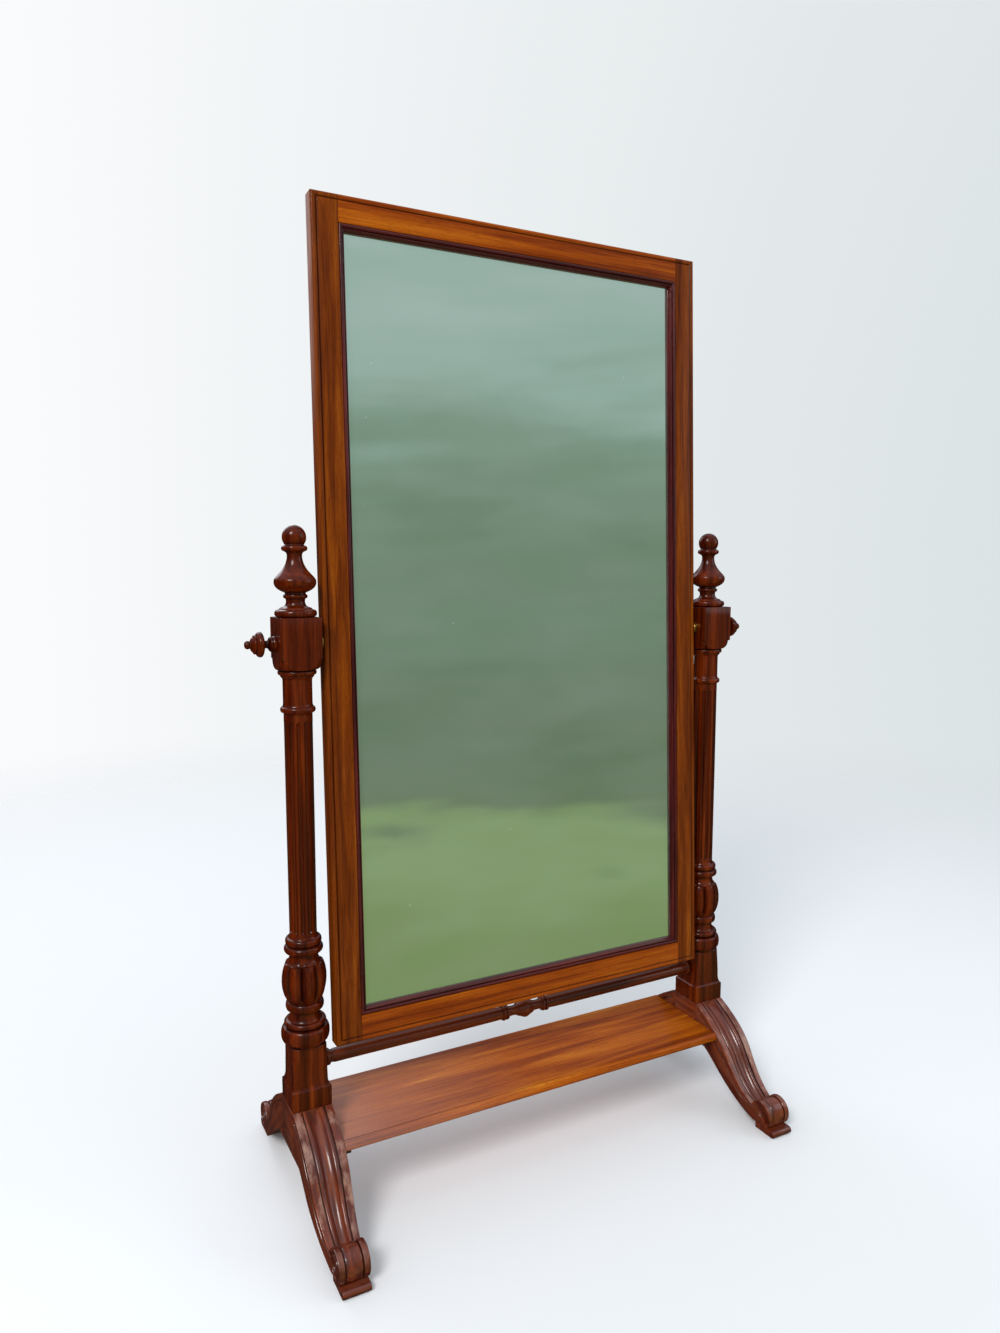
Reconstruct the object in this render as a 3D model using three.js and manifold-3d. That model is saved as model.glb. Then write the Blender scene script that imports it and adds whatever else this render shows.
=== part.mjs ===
// A cheval floor mirror: a tall framed looking glass that swings between two turned mahogany posts.
// Millimetres, +Z up, +X to the right as seen from in front, the glass faces -Y.
// The origin is on the floor, midway between the posts.

import * as THREE from 'three';
import { mergeVertices } from 'three/addons/utils/BufferGeometryUtils.js';
import Module from 'manifold-3d';

const wasm = await Module();
wasm.setup();

// ---------------------------------------------------------------- driving dimensions
const FIT = 0.3; // gap between pieces that touch

const POST_X = 400; // post axis from the middle of the stand
const BLOCK = 64; // square section of the pivot block and the plinth
const HALF_BLOCK = BLOCK / 2;
const PLINTH_BOTTOM = 168;
const PLINTH_TOP = 199;
const BLOCK_BOTTOM = 864;
const BLOCK_TOP = 945;
const PIVOT_Z = 905;
const FINIAL_TOP = 1084;
const COLUMN_RADIUS = 22;
const BALL_RADIUS = 18.2; // ball on top of a finial
const SPIGOT_RADIUS = 11; // round end of a finial, sunk in the post

const ARCH_Z = 93; // underside of the base blocks and of the arch between the legs
const LEG_REACH = 207; // scroll centre from the post axis
const SCROLL_RADIUS = 24.5;
const SCROLL_Z = 31;
const PAD_HEIGHT = 12;
const PAD_FRONT = 240;
const FOOT_WIDTH = 47;

const STRETCHER_Z = 231;
const STRETCHER_RADIUS = 11;
const STRETCHER_TENON = 8;
const SHELF_TOP = 135;
const SHELF_THICKNESS = 15;
const SHELF_DEPTH = 190;

const FRAME_WIDTH = 720;
const FRAME_ABOVE = 675; // top edge of the frame above the pivot
const FRAME_BELOW = 643; // bottom edge of the frame below the pivot
const FRAME_THICKNESS = 26;
const MEMBER = 42; // width of stiles and rails
const BEAD = 10.6; // width of the moulding round the glass
const GLASS_FRONT = 11.3; // front of the glass behind the front of the frame
const GLASS_THICKNESS = 6;
const REBATE_DEPTH = 8;
const REBATE_WIDTH = 9;
const FRAME_TILT = THREE.MathUtils.degToRad(2.2); // top of the frame leans back

const SCREW_RADIUS = 4;
const BUSH_RADIUS = 7.5;
const KNOB_REACH = 47; // knob tip from the post's outer face

// Distances that follow from them
const HALF_FRAME = FRAME_WIDTH / 2;
const HALF_OPENING = HALF_FRAME - MEMBER;
const OPENING_TOP = FRAME_ABOVE - MEMBER;
const OPENING_BOTTOM = MEMBER - FRAME_BELOW;
const FRAME_FRONT = -FRAME_THICKNESS / 2;
const FRAME_BACK = FRAME_THICKNESS / 2;
const INNER_FACE = POST_X - HALF_BLOCK; // face of a post that looks at the frame
const OUTER_FACE = POST_X + HALF_BLOCK;
const SCREW_END = OUTER_FACE + 30; // blind end of the screw, inside the knob
const SIDES = [
  ['left', -1],
  ['right', 1],
];
const ENDS = [
  ['front', -1],
  ['rear', 1],
];

// ---------------------------------------------------------------- materials
const finish = (color, roughness, metalness = 0) => ({ color, roughness, metalness });
const TURNED_WOOD = finish(0x5c2413, 0.28);
const CARVED_WOOD = finish(0x6e3122, 0.32);
const FRAME_WOOD = finish(0x7d4415, 0.33);
const BEAD_WOOD = finish(0x451418, 0.22);
const SHELF_WOOD = finish(0x8a4a1e, 0.35);
const PINE = finish(0xa98254, 0.75);
const BEECH = finish(0xc19a68, 0.7);
const BRASS = finish(0xb08a3e, 0.35, 1);
const STEEL = finish(0x6f6f70, 0.4, 1);
const SILVERED_GLASS = finish(0x9fb3a6, 0.04, 1);

// ---------------------------------------------------------------- solid helpers
function indexedFaces(geometry) {
  const bare = geometry.clone();
  bare.deleteAttribute('normal');
  bare.deleteAttribute('uv');
  const merged = mergeVertices(bare, 1e-4);
  const vertices = Float32Array.from(merged.attributes.position.array);
  const all = merged.index.array;
  const faces = [];
  for (let i = 0; i < all.length; i += 3) {
    const [a, b, c] = [all[i], all[i + 1], all[i + 2]];
    if (a !== b && b !== c && c !== a) faces.push([a, b, c]);
  }
  return { vertices, faces };
}

function signedVolume(vertices, faces) {
  const corner = (i) => new THREE.Vector3().fromArray(vertices, 3 * i);
  return faces.reduce((sum, [a, b, c]) => sum + corner(a).dot(corner(b).cross(corner(c))), 0);
}

function solid(geometry) {
  const { vertices, faces } = indexedFaces(geometry);
  if (signedVolume(vertices, faces) < 0) faces.forEach((face) => face.reverse());
  const mesh = { numProp: 3, vertProperties: vertices, triVerts: Uint32Array.from(faces.flat()) };
  return new wasm.Manifold(new wasm.Mesh(mesh));
}

function geometryOf(shape) {
  const { vertProperties, numProp, triVerts } = shape.getMesh();
  const positions = [];
  for (let i = 0; i < vertProperties.length; i += numProp) {
    positions.push(vertProperties[i], vertProperties[i + 1], vertProperties[i + 2]);
  }
  const geometry = new THREE.BufferGeometry();
  geometry.setAttribute('position', new THREE.Float32BufferAttribute(positions, 3));
  geometry.setIndex(Array.from(triVerts));
  return geometry;
}

// Adds a named piece to a group.
function addPiece(group, name, shape, look) {
  const flat = geometryOf(shape).toNonIndexed();
  flat.computeVertexNormals();
  const mesh = new THREE.Mesh(flat, new THREE.MeshStandardMaterial(look));
  mesh.name = name;
  group.add(mesh);
}

const join = (...shapes) => shapes.reduce((whole, next) => whole.add(next));
const cut = (shape, ...tools) => tools.reduce((rest, tool) => rest.subtract(tool), shape);

function block(xRange, yRange, zRange) {
  const sizes = [xRange, yRange, zRange].map(([low, high]) => high - low);
  const centre = [xRange, yRange, zRange].map(([low, high]) => (low + high) / 2);
  return solid(new THREE.BoxGeometry(...sizes).translate(...centre));
}

const points = (pairs) => pairs.map(([x, y]) => new THREE.Vector2(x, y));

// Turned piece round the Z axis; the outline runs [radius, z] and starts and ends on the axis.
function turned(outline, sides = 16) {
  return solid(new THREE.LatheGeometry(points(outline), sides).rotateX(Math.PI / 2));
}

// Turned ring round the Z axis; the outline closes on itself.
const turnedRing = (outline, sides = 16) => turned([...outline, outline[0]], sides);

// Stands a piece made round Z along X; +Z becomes the given direction.
const alongX = (shape, direction = 1) => shape.rotate([0, 90 * direction, 0]);
const alongY = (shape) => shape.rotate([-90, 0, 0]);

function rod(radius, low, high, sides = 12) {
  return turned([[0, low], [radius, low], [radius, high], [0, high]], sides);
}

// Points of a round stretch of outline, angles in degrees.
function arc(centreX, centreY, radiusX, radiusY, from, to, steps) {
  return Array.from({ length: steps + 1 }, (_, i) => {
    const angle = THREE.MathUtils.degToRad(from + ((to - from) * i) / steps);
    return [centreX + radiusX * Math.cos(angle), centreY + radiusY * Math.sin(angle)];
  });
}

function bezier(start, control1, control2, end, steps) {
  const [a, b, c, d] = points([start, control1, control2, end]);
  return new THREE.CubicBezierCurve(a, b, c, d).getPoints(steps).map(({ x, y }) => [x, y]);
}

function extruded(outline, length) {
  const shape = new THREE.Shape(points(outline));
  return solid(new THREE.ExtrudeGeometry(shape, { depth: length, bevelEnabled: false }));
}

// Countersunk wood screw along Z: the head is flush with z = 0 and the point is at -length.
function woodScrew(length, shank = 1.8) {
  const head = shank * 2;
  const point = length - 3 * shank;
  const body = turned([[0, -length], [shank, -point], [shank, -head], [head, 0], [0, 0]], 8);
  return cut(body, block([-head, head], [-0.5, 0.5], [-0.9, 1]));
}

// Clearance hole for that screw.
function screwHole(length, shank = 1.8) {
  const head = shank * 2 + FIT;
  const wall = shank + FIT;
  const outline = [[0, -length - 1], [wall, -length - 1], [wall, -head], [head, -FIT], [head, 1], [0, 1]];
  return turned(outline, 8);
}

// ---------------------------------------------------------------- posts
// Half-round moulding from one height down to a lower one, standing out to the given radius.
function roll(root, reach, high, low, steps = 2) {
  return arc(root, (high + low) / 2, reach - root, (high - low) / 2, -90, 90, steps);
}

// Shaft of a post, from the octagonal foot up to the pivot block.
function shaftOutline() {
  return [
    [0, 262],
    [31, 262],
    [31, 268],
    ...roll(33.5, 38.2, 296, 272, 4),
    ...roll(29, 33, 307, 297.5),
    [23.5, 313],
    [23, 319],
    ...roll(27, 30, 337, 323.5),
    [27.5, 338],
    ...arc(20, 372, 15.8, 36, -52, 48, 5),
    [28.8, 399],
    [22.5, 407],
    [22, 414],
    ...roll(26, 30.6, 429, 417),
    ...roll(25, 28.4, 441, 430),
    [COLUMN_RADIUS - 0.6, 447],
    [COLUMN_RADIUS, 795],
    ...roll(23.5, 26.9, 808, 799),
    [22.4, 813],
    [22.4, 849],
    [26, 853],
    ...roll(26.5, 29.6, BLOCK_BOTTOM + 1, BLOCK_BOTTOM - 7),
    [29, BLOCK_BOTTOM + 8],
    [0, BLOCK_BOTTOM + 8],
  ];
}

// Square flared foot of the post with corners cut to an octagon at its top, and the plinth under it.
function flaredFoot() {
  const flare = bezier([33, PLINTH_TOP], [30.5, 208], [28.6, 225], [28.2, 268], 6);
  const squareHalf = [[0, PLINTH_BOTTOM], [32, PLINTH_BOTTOM], [32, PLINTH_TOP - 0.6], ...flare, [0, 268]];
  const onCorners = squareHalf.map(([half, z]) => [half * Math.SQRT2, z]);
  const square = turned(onCorners, 4).rotate([0, 0, 45]);
  const cornerCut = [[0, 150], [67, 150], [67, 203], [56, 225], [49, 269], [0, 269]];
  return square.intersect(turned(cornerCut, 4));
}

// Square pivot block, its lower corners turned down to the shaft.
function pivotBlock() {
  const section = [-HALF_BLOCK, HALF_BLOCK];
  const square = block(section, section, [BLOCK_BOTTOM + 2, BLOCK_TOP]);
  const [low, step, high] = [BLOCK_BOTTOM + 1, BLOCK_BOTTOM + 17, BLOCK_TOP + 1];
  const shoulder = bezier([30.5, low], [37, low + 2], [40, low + 8], [40.5, step], 3);
  const lathe = turned([[0, low], ...shoulder, [46, step + 0.5], [46, high], [0, high]], 24);
  return square.intersect(lathe);
}

const FLUTES = 12;
const LOBES = 8;

function flute(angle) {
  const [top, bottom, radius] = [784, 452, 3.4];
  const tool = solid(new THREE.CapsuleGeometry(radius, top - bottom - 2 * radius, 1, 6).rotateX(Math.PI / 2));
  return tool.translate([COLUMN_RADIUS + 1, 0, (top + bottom) / 2]).rotate([0, 0, angle]);
}

// Dart between two lobes of the melon-shaped bulb.
function dart(angle) {
  const inner = arc(20, 372, 13.2, 34, -48, 44, 4);
  const outer = arc(24, 372, 20, 38, 44, -48, 2);
  const upright = extruded([...inner, ...outer], 2.6).rotate([90, 0, 0]).translate([0, 1.3, 0]);
  return upright.rotate([0, 0, angle]);
}

function makePost(side) {
  const around = (count, start = 0) => Array.from({ length: count }, (_, i) => start + (360 * i) / count);
  const tenon = rod(13, 122, PLINTH_BOTTOM + 1);
  const whole = join(flaredFoot(), turned(shaftOutline(), 18), pivotBlock(), tenon);
  const carved = cut(whole, ...around(FLUTES, 15).map(flute), ...around(LOBES, 22.5).map(dart));
  const finialSocket = rod(SPIGOT_RADIUS + FIT, BLOCK_TOP - 26, BLOCK_TOP + 1, 16);
  const across = HALF_BLOCK + 1;
  const screwBore = alongX(rod(SCREW_RADIUS + 0.5, -across, across));
  const bushBore = alongX(rod(BUSH_RADIUS + FIT, 12, across), -side);
  const pivotBore = join(screwBore, bushBore).translate([0, 0, PIVOT_Z]);
  const stretcherSocket = alongX(rod(STRETCHER_TENON + FIT, 7, across), -side).translate([0, 0, STRETCHER_Z]);
  return cut(carved, finialSocket, pivotBore, stretcherSocket).translate([side * POST_X, 0, 0]);
}

// Turned finial with a spigot that drops into the top of the post.
function makeFinial(side) {
  const seat = BLOCK_TOP + FIT;
  const outline = [
    [0, BLOCK_TOP - 25],
    [SPIGOT_RADIUS, BLOCK_TOP - 25],
    [SPIGOT_RADIUS, seat],
    [28.5, seat],
    ...roll(28.5, 32, 956, 946, 3),
    [25, 957],
    [24, 959],
    [16.5, 962],
    [14.4, 967],
    ...roll(16.8, 18.4, 979.5, 974),
    [15.6, 981],
    ...bezier([20, 984], [27, 990], [31.5, 993], [31.8, 999], 3),
    ...bezier([30, 1004], [21, 1010], [12.5, 1020], [11.3, 1037], 4),
    [14.5, 1043],
    ...roll(16.5, 19.6, 1053, 1045),
    [14.5, 1055],
    ...arc(0, FINIAL_TOP - BALL_RADIUS, BALL_RADIUS, BALL_RADIUS, -38, 62, 4),
    [0, FINIAL_TOP],
  ];
  return turned(outline).translate([side * POST_X, 0, 0]);
}

// ---------------------------------------------------------------- bases and legs
const DOWEL_RADIUS = 5;
const LOW_DOWEL = { z: 109, inner: 8, outer: 57 };
const HIGH_DOWEL = { z: 139, inner: 16.5, outer: 57 };

// Dowel between a base block and a leg, on the +Y side of the post axis.
function dowelRod({ z, inner, outer }, play = 0) {
  return alongY(rod(DOWEL_RADIUS + play, inner - play, outer + play, 10)).translate([0, 0, z]);
}

function makeBaseBlock(side) {
  const half = HALF_BLOCK - FIT;
  const body = block([-HALF_BLOCK, HALF_BLOCK], [-half, half], [ARCH_Z, PLINTH_BOTTOM - FIT]);
  const mortise = rod(13 + FIT, 122 - FIT, PLINTH_BOTTOM + 1);
  const holes = [LOW_DOWEL, HIGH_DOWEL].map((dowel) => dowelRod(dowel, FIT));
  const farHoles = holes.map((hole) => hole.rotate([0, 0, 180]));
  return cut(body, mortise, ...holes, ...farHoles).translate([side * POST_X, 0, 0]);
}

// Outline of the leg's top edge, from the plinth down to the scroll, as [distance from post, z].
function legTop() {
  const upper = bezier([HALF_BLOCK, PLINTH_BOTTOM - FIT], [72, 151], [104, 128], [122, 100], 5);
  const lower = bezier([122, 100], [137, 76], [158, 52], [184, 40], 5);
  return [...upper, ...lower.slice(1)];
}

function legOutline() {
  const underside = bezier([190, PAD_HEIGHT + FIT], [150, 20], [110, 62], [60, ARCH_Z], 6);
  const scroll = arc(LEG_REACH, SCROLL_Z, SCROLL_RADIUS, SCROLL_RADIUS, 152, -48, 8);
  return [...legTop(), ...scroll, ...underside, [HALF_BLOCK, ARCH_Z]];
}

// Narrows a leg towards its foot; x is measured from the leg's middle.
function narrowed(shape) {
  const start = 96;
  return shape.warp((vertex) => {
    const share = THREE.MathUtils.smoothstep(vertex[1], start, LEG_REACH);
    vertex[0] *= THREE.MathUtils.lerp(1, FOOT_WIDTH / BLOCK, share);
  });
}

// Channel sunk in the leg's top face; it follows the edge from the plinth to the scroll.
function legChannel(section) {
  const path = new THREE.CatmullRomCurve3(legTop().map(([y, z]) => new THREE.Vector3(0, y, z)));
  const shape = new THREE.Shape(points(section));
  return solid(new THREE.ExtrudeGeometry(shape, { extrudePath: path, steps: 9, bevelEnabled: false }));
}

// Right-hand leg reaching towards +Y, its middle on x = 0.
function legBody() {
  const side = extruded(legOutline(), BLOCK);
  const upright = side.rotate([90, 0, 90]).translate([-HALF_BLOCK, 0, 0]);
  const hollow = arc(0, 5.5, 8.5, 11, 180, 360, 4).map(([x, y]) => [y, x]);
  const quirk = [[-3, -1.3], [3, -1.3], [3, 1.3], [-3, 1.3]];
  const channels = [legChannel(hollow)];
  const rings = [];
  for (const offset of [-17.5, 17.5]) {
    channels.push(legChannel(quirk).translate([offset, 0, 0]));
    const [inner, outer, low, high] = [SCROLL_RADIUS - 2.4, SCROLL_RADIUS + 2, offset - 1.2, offset + 1.2];
    const ring = turnedRing([[inner, low], [outer, low], [outer, high], [inner, high]]);
    rings.push(alongX(ring).translate([0, LEG_REACH, SCROLL_Z]));
  }
  const eye = rod(6, HALF_BLOCK - 3, HALF_BLOCK + 1, 10);
  const eyes = [1, -1].map((way) => alongX(eye, way).translate([0, LEG_REACH + 1, SCROLL_Z + 1]));
  const shaped = cut(upright, ...channels, ...rings, ...eyes);
  const dowelHoles = [LOW_DOWEL, HIGH_DOWEL].map((dowel) => dowelRod(dowel, FIT));
  const cleatPilot = cleatScrewPlace(screwHole(28), CLEAT.screwY).translate([-POST_X, 0, 0]);
  return cut(narrowed(shaped), ...dowelHoles, cleatPilot);
}

// Pad under the scroll, with a rounded nose.
function padBody() {
  const nose = arc(PAD_FRONT - 6, PAD_HEIGHT / 2, 6, PAD_HEIGHT / 2, -90, 90, 4);
  const outline = [[193, 0], ...nose, [193, PAD_HEIGHT]];
  return extruded(outline, FOOT_WIDTH).rotate([90, 0, 90]).translate([-FOOT_WIDTH / 2, 0, 0]);
}

// ---------------------------------------------------------------- stretcher and shelf
function makeStretcher() {
  const end = POST_X - 30.3 - FIT; // face of the collar against the flared foot
  const half = [
    [0, end + 21],
    [STRETCHER_TENON, end + 21],
    [STRETCHER_TENON, end],
    ...roll(12.4, 13.6, end, end - 7).reverse(),
    [10, end - 9],
    [STRETCHER_RADIUS, end - 14],
    [STRETCHER_RADIUS, 48],
    ...roll(11.5, 13.6, 46, 40).reverse(),
    ...roll(11, 13, 39, 34).reverse(),
    [8.6, 26],
    [10, 15],
    [16, 3],
  ];
  const farHalf = half.map(([radius, x]) => [radius, -x]).reverse();
  return alongX(turned([...half, ...farHalf].reverse(), 12)).translate([0, 0, STRETCHER_Z]);
}

const SHELF_BOTTOM = SHELF_TOP - SHELF_THICKNESS;
const CLEAT = { width: 15, height: 13, halfLength: 78, screwY: 52 };

function makeShelf() {
  const front = SHELF_DEPTH / 2;
  const half = SHELF_THICKNESS / 2;
  const nose = (way) => arc(way * (front - 5), SHELF_TOP - half, way * 5, half, -90, 90, 4);
  const outline = [...nose(1), ...nose(-1).reverse()];
  const length = 2 * (INNER_FACE - FIT);
  const board = extruded(outline, length).rotate([90, 0, 90]).translate([-length / 2, 0, 0]);
  const groove = block([-length, length], [-front + 9, -front + 10.5], [SHELF_TOP - 1, SHELF_TOP + 1]);
  return cut(board, groove);
}

function cleatBody() {
  const { width, height, halfLength, screwY } = CLEAT;
  const top = SHELF_BOTTOM - FIT;
  const inner = INNER_FACE - FIT;
  const bar = block([inner - width, inner], [-halfLength, halfLength], [top - height, top]);
  const holes = [-screwY, screwY].map((y) => cleatScrewPlace(screwHole(28), y));
  return cut(bar, ...holes);
}

// Moves a screw made along Z to its place through the right-hand cleat.
function cleatScrewPlace(screw, y) {
  const { width, height } = CLEAT;
  return screw.rotate([0, -90, 0]).translate([INNER_FACE - FIT - width, y, SHELF_BOTTOM - FIT - height / 2]);
}

// ---------------------------------------------------------------- swinging frame
// Section of a stile or rail: [in from the outer edge, back from the front face].
function memberSection() {
  const edgeRound = arc(4.4, 3.4, 4.4, 3.4, 180, 270, 3);
  const quirk = [[8.2, 0.8], [9.4, 2.2], [10.6, 0]];
  const shelf = FRAME_THICKNESS - REBATE_DEPTH;
  const lip = MEMBER - REBATE_WIDTH;
  const back = [[MEMBER, 0], [MEMBER, shelf], [lip, shelf], [lip, FRAME_THICKNESS], [0, FRAME_THICKNESS]];
  return [...edgeRound, ...quirk, ...back];
}

// Section of the bead round the glass: two ridges that step down to the glass.
function beadSection() {
  return [
    [FIT, 1.2],
    ...arc(3.1, 1.2, 2.6, 2, 180, 350, 4),
    [6.2, 2.2],
    ...arc(7.6, 3.2, 1.4, 1.4, 200, 350, 2),
    [BEAD - 0.6, 6.5],
    [BEAD, 8],
    [BEAD, GLASS_FRONT - FIT],
    [FIT, GLASS_FRONT - FIT],
  ];
}

// Stretch of moulding; edge is the outer edge's distance from the middle, way its side, along X or Z.
function moulding(section, edge, way, axis, low, high) {
  const inward = [0, 0, 0];
  inward[axis === 'x' ? 2 : 0] = -way;
  const basis = new THREE.Matrix4().makeBasis(
    new THREE.Vector3(...inward),
    new THREE.Vector3(0, 1, 0),
    axis === 'x' ? new THREE.Vector3(1, 0, 0) : new THREE.Vector3(0, 0, 1),
  );
  const shape = new THREE.Shape(points(section));
  const geometry = new THREE.ExtrudeGeometry(shape, { depth: high - low, bevelEnabled: false });
  const start = axis === 'x' ? [low, FRAME_FRONT, way * edge] : [way * edge, FRAME_FRONT, low];
  return solid(geometry.applyMatrix4(basis.setPosition(...start)));
}

// Cuts both ends of a moulding at 45 degrees, inward from its outer edge.
function mitred(shape, edge, way, axis, low, high) {
  const across = axis === 'x' ? 2 : 0;
  const along = axis === 'x' ? 0 : 2;
  return shape.warp((vertex) => {
    const inset = edge - way * vertex[across];
    vertex[along] += vertex[along] < (low + high) / 2 ? inset : -inset;
  });
}

const TENON = { length: 30, thickness: 8, shoulder: 7 };

// Range across a rail that its tenon fills, measured up the frame.
function tenonRange(edge, way) {
  const outer = way * (edge - TENON.shoulder);
  const inner = way * (edge - MEMBER + REBATE_WIDTH + 1);
  return [Math.min(outer, inner), Math.max(outer, inner)];
}

const RAILS = [
  ['top', 1, FRAME_ABOVE],
  ['bottom', -1, FRAME_BELOW],
];

function grow([low, high], play) {
  return [low - play, high + play];
}

function railTenon(way, edge, side, play = 0) {
  const reach = [HALF_OPENING - 1 - play, HALF_OPENING + TENON.length + play];
  const xRange = side > 0 ? reach : [-reach[1], -reach[0]];
  const half = TENON.thickness / 2;
  return block(xRange, grow([-half, half], play), grow(tenonRange(edge, way), play));
}

// Negative of the rounded edge, taken off a stile's two ends so that the moulding turns the corner.
function stileEndTools(side) {
  return RAILS.map(([, way, edge]) => {
    const low = side * HALF_FRAME - 60;
    const round = arc(4.4, 3.4, 4.4, 3.4, 180, 270, 3);
    return moulding([[-1, -1], [-1, 3.4], ...round, [4.4, -1]], edge, way, 'x', low, low + 120);
  });
}

// Screws of the three backboards: one into each rail on the middle line of each board.
const BOARDS = [
  ['left', -1],
  ['middle', 0],
  ['right', 1],
];
const BOARD_WIDTH = (2 * (HALF_OPENING + REBATE_WIDTH - FIT)) / 3;
const BOARD_TOP = OPENING_TOP + REBATE_WIDTH - FIT;
const BOARD_BOTTOM = OPENING_BOTTOM - REBATE_WIDTH + FIT;
const BOARD_BACK = FRAME_BACK - 0.5;
const SCREW_IN = 4.6; // screw line in from the board's end

function boardScrew(screw, column, way) {
  const z = way > 0 ? BOARD_TOP - SCREW_IN : BOARD_BOTTOM + SCREW_IN;
  return screw.rotate([-90, 0, 0]).translate([column * BOARD_WIDTH, BOARD_BACK, z]);
}

function makeBoard(column) {
  const middle = column * BOARD_WIDTH;
  const half = BOARD_WIDTH / 2 - FIT / 2;
  const front = FRAME_BACK - REBATE_DEPTH + FIT;
  const board = block([middle - half, middle + half], [front, BOARD_BACK], [BOARD_BOTTOM, BOARD_TOP]);
  return cut(board, ...[1, -1].map((way) => boardScrew(screwHole(16, 1.5), column, way)));
}

function makeStile(side) {
  const body = moulding(memberSection(), HALF_FRAME, side, 'z', -FRAME_BELOW, FRAME_ABOVE);
  const mortises = RAILS.map(([, way, edge]) => railTenon(way, edge, side, FIT));
  const rebateEnds = RAILS.map(([, way, edge]) => {
    const xRange = [side * HALF_OPENING - REBATE_WIDTH, side * HALF_OPENING + REBATE_WIDTH];
    const stop = way * (edge - MEMBER + REBATE_WIDTH);
    const fill = [Math.min(stop, way * edge), Math.max(stop, way * edge)];
    return block(xRange, [FRAME_BACK - REBATE_DEPTH - 1, FRAME_BACK], fill);
  });
  const limits = [side * HALF_FRAME, side * HALF_OPENING].sort((a, b) => a - b);
  const within = block(limits, [FRAME_FRONT, FRAME_BACK], [-FRAME_BELOW, FRAME_ABOVE]);
  const stopped = join(body, ...rebateEnds).intersect(within);
  return cut(stopped, ...mortises, ...stileEndTools(side), plateSeat(side));
}

function makeRail(way, edge) {
  const body = moulding(memberSection(), edge, way, 'x', FIT - HALF_OPENING, HALF_OPENING - FIT);
  const tenons = SIDES.map(([, side]) => railTenon(way, edge, side));
  const pilots = BOARDS.map(([, column]) => boardScrew(screwHole(16, 1.5), column, way));
  return cut(join(body, ...tenons), ...pilots);
}

function makeBead(way, edge, axis) {
  const [low, high] = axis === 'x' ? [-HALF_OPENING, HALF_OPENING] : [OPENING_BOTTOM, OPENING_TOP];
  const gap = 0.15;
  const straight = moulding(beadSection(), edge, way, axis, low + gap, high - gap);
  return mitred(straight, edge, way, axis, low, high);
}

// ---------------------------------------------------------------- pivots and knobs
const PLATE = { length: 76, width: 18, thickness: 3, screwZ: 28 };
const NUT_RADIUS = 7.5;

// Brass plate let into the frame's edge, with the nut that takes the knob's screw.
function plateBody() {
  const { length, width, thickness, screwZ } = PLATE;
  const face = HALF_FRAME - FIT;
  const plate = block([face - thickness, face], [-width / 2, width / 2], [-length / 2, length / 2]);
  const nut = alongX(rod(NUT_RADIUS, face - 14, face - 1));
  const bore = alongX(rod(SCREW_RADIUS + FIT, face - 16, face + 1));
  const holes = [-screwZ, screwZ].map((z) => plateScrewPlace(screwHole(20), z));
  return cut(join(plate, nut), bore, ...holes);
}

// Room for that plate in the stile.
function plateSeat(side) {
  const { length, width, thickness, screwZ } = PLATE;
  const face = HALF_FRAME - FIT;
  const across = grow([-width / 2, width / 2], FIT);
  const upDown = grow([-length / 2, length / 2], FIT);
  const recess = block([face - thickness - FIT, face + 2], across, upDown);
  const nutHole = alongX(rod(NUT_RADIUS + FIT, face - 22, face));
  const pilots = [-screwZ, screwZ].map((z) => plateScrewPlace(screwHole(20), z));
  const seat = join(recess, nutHole, ...pilots);
  return side > 0 ? seat : seat.mirror([1, 0, 0]);
}

function plateScrewPlace(screw, z) {
  return screw.rotate([0, 90, 0]).translate([HALF_FRAME - FIT, 0, z]);
}

// Brass bush lining the post's bore; its flange keeps the frame off the post.
function bushBody() {
  const bore = SCREW_RADIUS + FIT;
  const flange = 13;
  const face = INNER_FACE - FIT;
  const outline = [
    [bore, HALF_FRAME + FIT],
    [flange - 1.5, HALF_FRAME + FIT],
    [flange, HALF_FRAME + 1.8],
    [flange, face],
    [BUSH_RADIUS, face],
    [BUSH_RADIUS, POST_X - 12.5],
    [bore, POST_X - 12.5],
  ];
  return alongX(turnedRing(outline, 12)).translate([0, 0, PIVOT_Z]);
}

// Turned knob on the outside of the right-hand post, drilled for its screw.
function knobBody() {
  const face = OUTER_FACE + FIT;
  const at = (radius, out) => [radius, face + out];
  const outline = [
    at(0, 0),
    at(12, 0),
    at(12.2, 2),
    at(11, 5),
    at(11.5, 7),
    at(9.5, 10),
    at(6, 11.5),
    at(5.8, 16),
    at(10, 18),
    at(17, 20),
    at(19.2, 23.5),
    at(17.5, 27.5),
    at(14, 30),
    at(14.4, 32),
    at(11, 34.5),
    at(8.5, 37.5),
    at(5.6, 38.5),
    at(5.8, 43),
    at(4, KNOB_REACH - FIT),
    at(0, KNOB_REACH - FIT),
  ];
  const hole = rod(SCREW_RADIUS + FIT, face - 1, SCREW_END + FIT);
  return alongX(cut(turned(outline), hole)).translate([0, 0, PIVOT_Z]);
}

// Steel screw that runs from inside the knob, through post and bush, into the frame's nut.
function knobScrewBody() {
  return alongX(rod(SCREW_RADIUS, HALF_FRAME - 14, SCREW_END)).translate([0, 0, PIVOT_Z]);
}

// ---------------------------------------------------------------- assembly
const cheval = new THREE.Group();
const mirrorFrame = new THREE.Group();
mirrorFrame.position.set(0, 0, PIVOT_Z);
mirrorFrame.rotation.x = -FRAME_TILT;
cheval.add(mirrorFrame);

const onSide = (shape, side) => (side > 0 ? shape : shape.mirror([1, 0, 0]));
const onEnd = (shape, end) => (end > 0 ? shape : shape.mirror([0, 1, 0]));

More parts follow.
